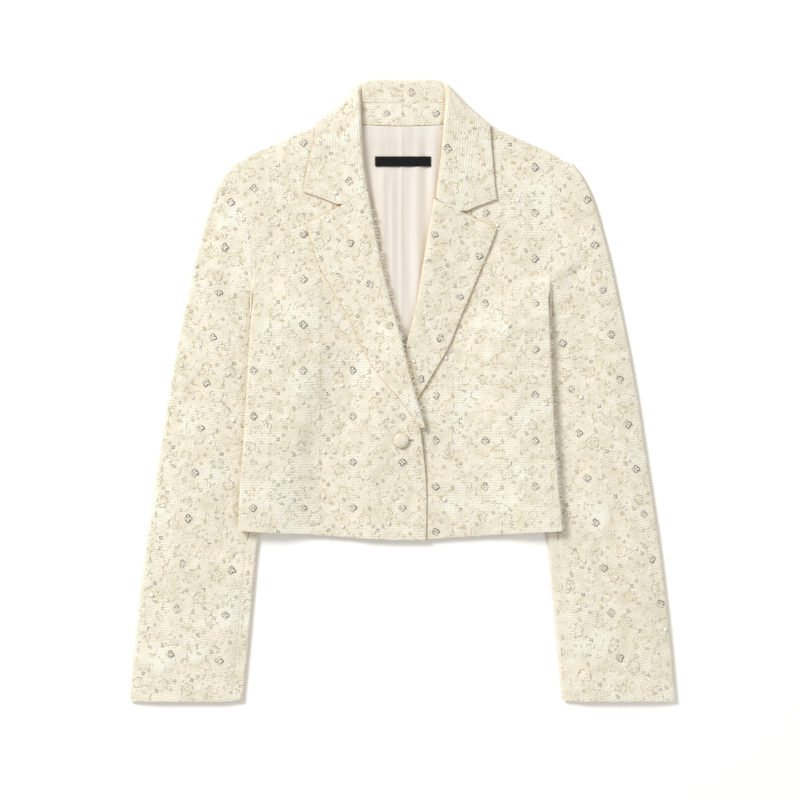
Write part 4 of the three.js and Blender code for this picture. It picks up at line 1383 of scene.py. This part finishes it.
def thread(points, normals, radius, finish, sides=4, flat=1.0):
    """A tube of thread along points on the cloth, thinner at its ends, and flattened where it is lain on."""
    points = np.array(points, float)
    normals = np.array(normals, float)
    tangents = np.gradient(points, axis=0)
    tangents /= np.maximum(np.linalg.norm(tangents, axis=1, keepdims=True), 1e-6)
    across = np.cross(tangents, normals)
    across /= np.maximum(np.linalg.norm(across, axis=1, keepdims=True), 1e-6)
    corners = []
    last = len(points) - 1
    for i in range(last + 1):
        size = radius * (THREAD["end"] if i in (0, last) else 1)
        for k in range(sides):
            angle = 2 * math.pi * (k + 0.5) / sides
            rise_here = THREAD["height"] * size * math.sin(angle) + THREAD["up"] * radius
            corners.append(points[i] + across[i] * size * math.cos(angle) + normals[i] * flat * rise_here)
    faces = []
    for i in range(last):
        for k in range(sides):
            a, b = i * sides + k, i * sides + (k + 1) % sides
            faces.append((a, b, b + sides, a + sides))
    faces.append(tuple(range(sides))[::-1])
    faces.append(tuple(last * sides + k for k in range(sides)))
    return np.array(corners), faces, [finish] * len(faces)


def rosette(x, y, radius, rng):
    """The outline of a five-petalled flower, sewn in loose arcs, with a stroke in each petal."""
    for petal in range(5):
        angle = petal * 2 * math.pi / 5 + 0.5 + rng.uniform(-0.2, 0.2)
        cos, sin = math.cos(angle), math.sin(angle)
        centre_x, centre_y = x + 0.62 * radius * cos, y + 0.62 * radius * sin
        size = radius * rng.uniform(0.34, 0.46)
        if rng.random() < 0.85:
            start = angle - rng.uniform(1.2, 1.9)
            sweep = rng.uniform(1.8, 3.4)
            turns = [start + sweep * t for t in steps(5)]
            yield [(centre_x + size * math.cos(turn), centre_y + size * math.sin(turn)) for turn in turns]
        if rng.random() < 0.6:
            yield [(x + radius * t * cos, y + radius * t * sin) for t in (0.25, 0.42, 0.6)]


def crinkles(x, y, reach, count, rng):
    """Short crinkled strokes scattered round a flower."""
    for _ in range(count):
        out, round_it = reach * rng.uniform(0.5, 1.25), rng.uniform(0, 2 * math.pi)
        place_x, place_y = x + out * math.cos(round_it), y + out * math.sin(round_it)
        angle = rng.uniform(0, math.pi)
        length = rng.uniform(1.8, 4.2)
        bow = rng.uniform(-0.9, 0.9)
        yield [(place_x + length * (t - 0.5) * math.cos(angle) - bow * math.sin(3.1 * t) * math.sin(angle),
                place_y + length * (t - 0.5) * math.sin(angle) + bow * math.sin(3.1 * t) * math.cos(angle))
               for t in steps(3)]


def sprig(x, y, angle, count):
    """Short parallel strokes, as in a leaf worked in satin stitch."""
    along = (math.cos(math.radians(angle)), math.sin(math.radians(angle)))
    for i in range(count):
        shift = (i - (count - 1) / 2) * 1.5
        length = 2.6 - 0.5 * abs(i - (count - 1) / 2)
        x0, y0 = x - along[1] * shift, y + along[0] * shift
        reaches = [length * 1.6 * (t - 0.5) for t in steps(2)]
        yield [(x0 + along[0] * reach, y0 + along[1] * reach) for reach in reaches]


def stem(start_x, start_y, end_x, end_y, bow):
    """A stem that bends one way and then a little back."""
    length = math.hypot(end_x - start_x, end_y - start_y)
    normal = ((start_y - end_y) / length, (end_x - start_x) / length)
    return [(mix(start_x, end_x, t) + normal[0] * bow * math.sin(math.pi * 1.6 * t),
             mix(start_y, end_y, t) + normal[1] * bow * math.sin(math.pi * 1.6 * t)) for t in steps(9)]


def floral_paths(rng):
    """The thread lines of one repeat round a large sequin group, with the tone of each."""
    paths = []
    for x, y, radius in ROSETTES:
        tone = rng.choice(TONES)
        paths += [(path, tone) for path in rosette(x, y, radius, rng)]
        paths += [(path, rng.choice(TONES)) for path in crinkles(x, y, radius + 2, 9, rng)]
    for x, y, angle, count in SPRIGS:
        tone = rng.choice(TONES)
        paths += [(path, tone) for path in sprig(x, y, angle, count)]
    for row in STEMS:
        line = stem(*row)
        paths += [(part, rng.choice(TONES)) for part in (line[:4], line[4:7], line[7:])]
    return paths


def sewn(path, tone, owner, above, find):
    """The parts of a thread line that lie on one piece of cloth."""
    runs = [[]]
    for x, y in path:
        hit = find(x, y, above)
        if hit is None or hit[0] != owner or abs(hit[2].z) < STEEPEST:
            runs.append([])
            continue
        if runs[-1] and abs(hit[1].z - runs[-1][-1][1].z) > HIGHEST_STEP:
            runs.append([])
        runs[-1].append(hit)
    flat = 1.0 if above else FLAT_BELOW
    return [thread([hit[1] for hit in run], [hit[2] for hit in run], THREAD["radius"], tone, 3, flat)
            for run in runs if len(run) > 2]


def lies_on(owner, x, y, reach, above, find):
    """What is found at a place, if one piece of cloth lies there and all round it, and nearly level."""
    around = ((0, 0), (1, 0), (-1, 0), (0, 1), (0, -1))
    hits = [find(x + dx * reach, y + dy * reach, above) for dx, dy in around]
    if any(hit is None or hit[0] != owner for hit in hits):
        return None
    heights = [hit[1].z for hit in hits]
    return hits[0] if max(heights) - min(heights) < LEVEL_WITHIN else None


def on_cloth(hit, above, turned, size=1.0, tilt=(0.0, 0.0)):
    """A matrix for a small model on the cloth, pressed flat where it lies on the floor."""
    matrix = place_on(hit[1], hit[2], turned, size, tilt if above else (0, 0))
    matrix[:3, 2] *= 1.0 if above else FLAT_BELOW
    return matrix


def decorate(owner, above, find):
    """Sequin groups, pailettes and raised flowers of one piece of cloth, each kind joined in one mesh."""
    rng = random.Random(f"{owner} {above}")
    groups, flat_sequins, threads = [], [], []
    for large, x, y, turned in lattice_places(owner, above):
        hit = lies_on(owner, x, y, LARGE_REACH if large else SMALL_REACH, above, find)
        if hit:
            matrix = on_cloth(hit, above, turned + rng.uniform(-0.15, 0.15))
            groups += (large_group if large else small_group)(matrix, rng)
        if not large or not near_cloth(owner, x, y, above, find):
            continue
        for path, tone in floral_paths(rng):
            shifted = [turned_place(x, y, u, v, turned) for u, v in path]
            threads += sewn(shifted, tone, owner, above, find)
        for u, v in PAILETTE_PLACES:
            if rng.random() > PAILETTE["share"]:
                continue
            u, v = u + rng.uniform(-3, 3), v + rng.uniform(-3, 3)
            hit = lies_on(owner, *turned_place(x, y, u, v, turned), PAILETTE["reach"], above, find)
            if hit:
                tilt = (rng.uniform(-0.45, 0.45), rng.uniform(-0.45, 0.45))
                size = rng.uniform(0.7, 1.15)
                flat_sequins.append(placed(pailette, on_cloth(hit, above, rng.uniform(0, 6), size, tilt)))
    return groups, flat_sequins, threads


def near_cloth(owner, x, y, above, find):
    """Whether one repeat of the pattern round a place reaches a piece of cloth."""
    hits = [find(x + dx, y + dy, above) for dx in (-26, 0, 26) for dy in (-24, 0, 24)]
    return any(hit is not None and hit[0] == owner for hit in hits)


def hairs(stations, count, reach, seed):
    """Cut ends of yarn along an edge, each a short curved hair."""
    rng = random.Random(seed)
    made = []
    for _ in range(count):
        start, out = stations[rng.randrange(len(stations))]
        angle = rng.gauss(0, 0.75)
        direction = (out[0] * math.cos(angle) - out[1] * math.sin(angle),
                     out[0] * math.sin(angle) + out[1] * math.cos(angle))
        length = reach * rng.uniform(0.35, 1.0)
        curl = rng.uniform(-0.35, 0.35) * length
        points = [(start[0] + direction[0] * length * (t - 0.25) - direction[1] * curl * t * t,
                   start[1] + direction[1] * length * (t - 0.25) + direction[0] * curl * t * t,
                   start[2] + 0.7 * math.sin(2.4 * t)) for t in steps(4)]
        made.append(thread(points, [(0, 0, 1)] * len(points), HAIR["radius"], rng.choice(TONES[:2]), 3))
    return made


def roll_stations(side, low, high):
    """Places along a lapel's roll line, facing the open neck."""
    places = []
    for y in np.linspace(low, high, 160):
        x = side * roll_of[side](y)
        slope = side * (roll_of[side](y + 1) - roll_of[side](y - 1)) / 2
        out = Vector((-side, side * slope)).normalized()
        radius = roll_radius(y)
        height = front_underside(x + side * radius, y, side) + radius
        places.append(((x + side * HAIR["root_in"], y, height), (out.x, out.y)))
    return places


def lapel_edge_stations(side):
    """Places along a lapel's outer edge, facing away from it and a little down."""
    rows = refine_rows(np.array([[(side * row["out"], row["y"], 0)] for row in LAPEL_ROWS[side]], float), 2)
    places = []
    for x, y, _ in rows[:, 0]:
        places.append(((x - side * 1.2, y, front_top(x, y, side) + LAPEL_CLEAR + 1.3), (side * 0.92, -0.4)))
    return places


def side_stations(side, low, high):
    """Places along the fold at a front's side, facing away from the body."""
    places = []
    for y in np.linspace(low, high, 120):
        edge = edge_of[side](y)
        height = front_top(side * (edge - 2), y, side) - FRONT_CURL
        places.append(((side * (edge - HAIR["root_in"]), y, height), (side, 0.0)))
    return places


def hem_stations(side, start, end):
    """Places along a front's hem, facing down."""
    places = []
    for out in np.linspace(start, end, 120):
        height = front_top(side * out, hem_at(out), side) - 0.5
        places.append(((side * out, hem_at(out) + HAIR["root_in"], height), (0.0, -1.0)))
    return places


def seam_paths():
    """Where two pieces of cloth are sewn edge to edge, in plan."""
    across = [(x, SEAM_NECK_Y) for x in np.linspace(-SEAM_NECK_OUT, SEAM_NECK_OUT, 42)]
    paths = {"neck_seam": [(-x, y) for x, y in SEAM_NECK_CORNER[::-1]] + across + list(SEAM_NECK_CORNER)}
    for side, word in ((RIGHT, "right"), (LEFT, "left")):
        (roll_out, roll_y), (mid_out, mid_y) = GORGE_ROWS[side][0]["roll"], GORGE_ROWS[side][0]["mid"]
        paths[f"gorge_seam_{word}"] = [(side * mix(roll_out + 1.5, mid_out - 1, t),
                                        mix(roll_y - 0.8, mid_y - 0.4, t)) for t in steps(20)]
        paths[f"armhole_seam_{word}"] = [(side * (edge_of[side](y) + mix(0.9, 0.4, ease(y, 100, 128))), y)
                                         for y in np.linspace(82, 256, 72)]
        paths[f"forearm_seam_{word}"] = [(side * (sleeve_inner(y) + FOREARM_SEAM_IN - SEAM_GAP / 2), y)
                                         for y in np.linspace(CUFF_Y + 1, HEM_Y - 10, 90)]
    return paths


def seam_cord(name, path, radius, find):
    """The turned edges that fill a seam, a little below the cloth on both sides of it."""
    line = np.array(path)
    points = []
    for (x, y), (dx, dy) in zip(line, np.gradient(line, axis=0)):
        length = math.hypot(dx, dy)
        reaches = (-SEAM_SIDES, SEAM_SIDES)
        sides = [find(x + dy / length * reach, y - dx / length * reach, True) for reach in reaches]
        if all(sides):
            points.append((x, y, (sides[0][1].z + sides[1][1].z) / 2 - SEAM_DEPTH * radius))
    cord = thread(points, [(0, 0, 1)] * len(points), radius, "seam", 8)
    sewn_piece(name, [cord], {"seam": seam_cloth}, "boucle")


def sewn_piece(name, parts, finishes, slot):
    """Many small sewn things as one mesh with its finishes."""
    corners, faces, names = merged(parts)
    mesh = bpy.data.meshes.new(name)
    mesh.from_pydata((corners * MM).tolist(), [], faces)
    order = sorted(set(names))
    for finish in order:
        mesh.materials.append(finishes[finish])
    mesh.polygons.foreach_set("material_index", [order.index(each) for each in names])
    mesh.polygons.foreach_set("use_smooth", [True] * len(faces))
    piece = bpy.data.objects.new(name, mesh)
    bpy.context.scene.collection.objects.link(piece)
    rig.ride(piece, "root")
    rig.slot(piece, slot)
    return piece


def sew_decorations():
    """Sews everything small on the cloth, and returns what lies on each piece."""
    find = cloth_finder()
    finishes = {"silver": silver, "mid": mid_silver, "dark": dark_silver, "pearl": pearl,
                "cream": cream_thread, "beige": beige_thread, "olive": olive_thread, "black": black_thread}
    fringes = {
        "lapel_right_cloth": hairs(roll_stations(RIGHT, -30, 205), 240, 8.0, 3),
        "lapel_left_cloth": hairs(roll_stations(LEFT, 20, 205), 70, 5.0, 4)
        + hairs(lapel_edge_stations(LEFT), 90, 5.0, 5),
        "front_right_cloth": hairs(side_stations(RIGHT, -150, 60), 60, 4.0, 6)
        + hairs(hem_stations(RIGHT, 30, 180), 50, 3.5, 7),
        "front_left_cloth": hairs(side_stations(LEFT, -155, 70), 130, 6.0, 8)
        + hairs(hem_stations(LEFT, -20, 172), 70, 4.0, 9),
    }
    hole = stitches(buttonhole_strokes(), "front_right_cloth", BUTTONHOLE["radius"], "beige", find)
    sewn_piece("buttonhole_stitches", hole, finishes, "boucle")
    ends = stitches(label_strokes(), "label_cloth", LABEL_STITCH["radius"], "black", find)
    sewn_piece("label_stitches", ends, finishes, "woven_black")
    for name, path in seam_paths().items():
        seam_cord(name, path, ARMHOLE_SEAM_RADIUS if name.startswith("armhole") else SEAM_RADIUS, find)
    on_piece = {}
    for piece, *_ in sheets:
        owner = piece.name
        kinds = {}
        if owner in LATTICES:
            sides = [True, False] if owner.startswith("sleeve") else [owner != "back_cloth"]
            made = [decorate(owner, above, find) for above in sides]
            for word, parts in zip(("sequins", "pailettes", "flowers"), zip(*made)):
                kinds[word] = [part for side_parts in parts for part in side_parts]
        kinds["hairs"] = fringes.get(owner, [])
        on_piece[owner] = [sewn_piece(f"{owner.removesuffix('_cloth')}_{word}", parts, finishes, "boucle")
                           for word, parts in kinds.items() if parts]
    return on_piece


def declare_sheets(on_piece):
    for piece, (width, length, area), held, rests_on in sheets:
        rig.sheet(piece, flat=(width, length), held=held, area=area, rests_on=rests_on,
                 with_pieces=on_piece[piece.name])


def set_stage():
    """A plain pale floor just under the garment, and soft light from the upper left."""
    deselect_all()
    bpy.ops.mesh.primitive_plane_add(size=8, location=(0, 0, FLOOR_Z * MM))
    floor = bpy.context.object
    floor.name = "floor"
    material, _, _ = principled("pale_floor", FLOOR_WHITE, 0.9, Specular_IOR_Level=0.0)
    floor.data.materials.append(material)
    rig.stage(floor)
    world = bpy.data.worlds.new("soft_room")
    bpy.context.scene.world = world
    world.use_nodes = True
    background = world.node_tree.nodes["Background"]
    background.inputs["Color"].default_value = (*ROOM_WHITE, 1)
    background.inputs["Strength"].default_value = ROOM_LIGHT
    for name, place, size, power, color in LIGHTS:
        data = bpy.data.lights.new(name, "AREA")
        data.size = size
        data.energy = power
        data.color = color
        light = bpy.data.objects.new(name, data)
        light.location = place
        light.rotation_euler = (-Vector(place)).to_track_quat("-Z", "Y").to_euler()
        bpy.context.scene.collection.objects.link(light)
    bpy.context.scene.view_settings.view_transform = "Standard"


def set_camera():
    """Looks straight down on the garment with a long lens, with the collar at the top."""
    data = bpy.data.cameras.new("camera")
    data.lens = 85
    data.sensor_width = 36
    data.clip_end = 20
    camera = bpy.data.objects.new("camera", data)
    camera.location = (CAMERA_X * MM, CAMERA_Y * MM, FRAME_WIDTH * MM * data.lens / data.sensor_width)
    bpy.context.scene.collection.objects.link(camera)
    bpy.context.scene.camera = camera


def write_sizes():
    low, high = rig.bounds()
    with open("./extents.json", "w") as f:
        json.dump({"cad": [list(corner) for corner in cad_box], "visual": [list(low), list(high)]}, f, indent=1)


sheets = []
boucle = boucle_material("cream_boucle", "ShaderNodeUVMap", "UV")
button_boucle = boucle_material("button_boucle", "ShaderNodeTexCoord", "Object")
satin = satin_material()
ribbon = label_material()
silver = glass_sequin_material("silver_sequins", PALE_SILVER, WHITE_SILVER, 0.5, 0.0)
mid_silver = glass_sequin_material("grey_sequin_rims", MID_SILVER, PALE_SILVER, 0.3, 0.6)
dark_silver = glass_sequin_material("dark_sequin_rims", DARK_SILVER, MID_SILVER, 0.3, 0.7)
pearl = glass_sequin_material("pearl_pailettes", PEARL, PINK_PEARL, 0.35, 0.0)
cream_thread = thread_material("cream_thread", CREAM_THREAD)
beige_thread = thread_material("beige_thread", BEIGE_THREAD)
olive_thread = thread_material("olive_thread", OLIVE_THREAD)
black_thread = thread_material("black_thread", BLACK_YARN)
# Painted shade for the inner faces of the boucle
wrong_side_shade = thread_material("boucle_wrong_side", WRONG_SIDE_PAINTED_SHADE)
seam_cloth = thread_material("seam_cloth", SEAM_SHADE)
set_camera()
make_boucle_cloth()
plain_sheet("lining_back_cloth", lining_grid(), LINING_CLOTH, satin, "satin", "back_cloth")
plain_sheet("label_cloth", label_grid(), LABEL["thickness"], ribbon, "woven_black", "lining_back_cloth")
make_button()
cut_buttonhole()
lobes = {rim: lobe_model(rim) for rim in ("dark", "mid", "silver")}
beads = {rim: bead_model(rim) for rim in ("dark", "mid")}
pailette = pailette_model()
declare_sheets(sew_decorations())
set_stage()
write_sizes()
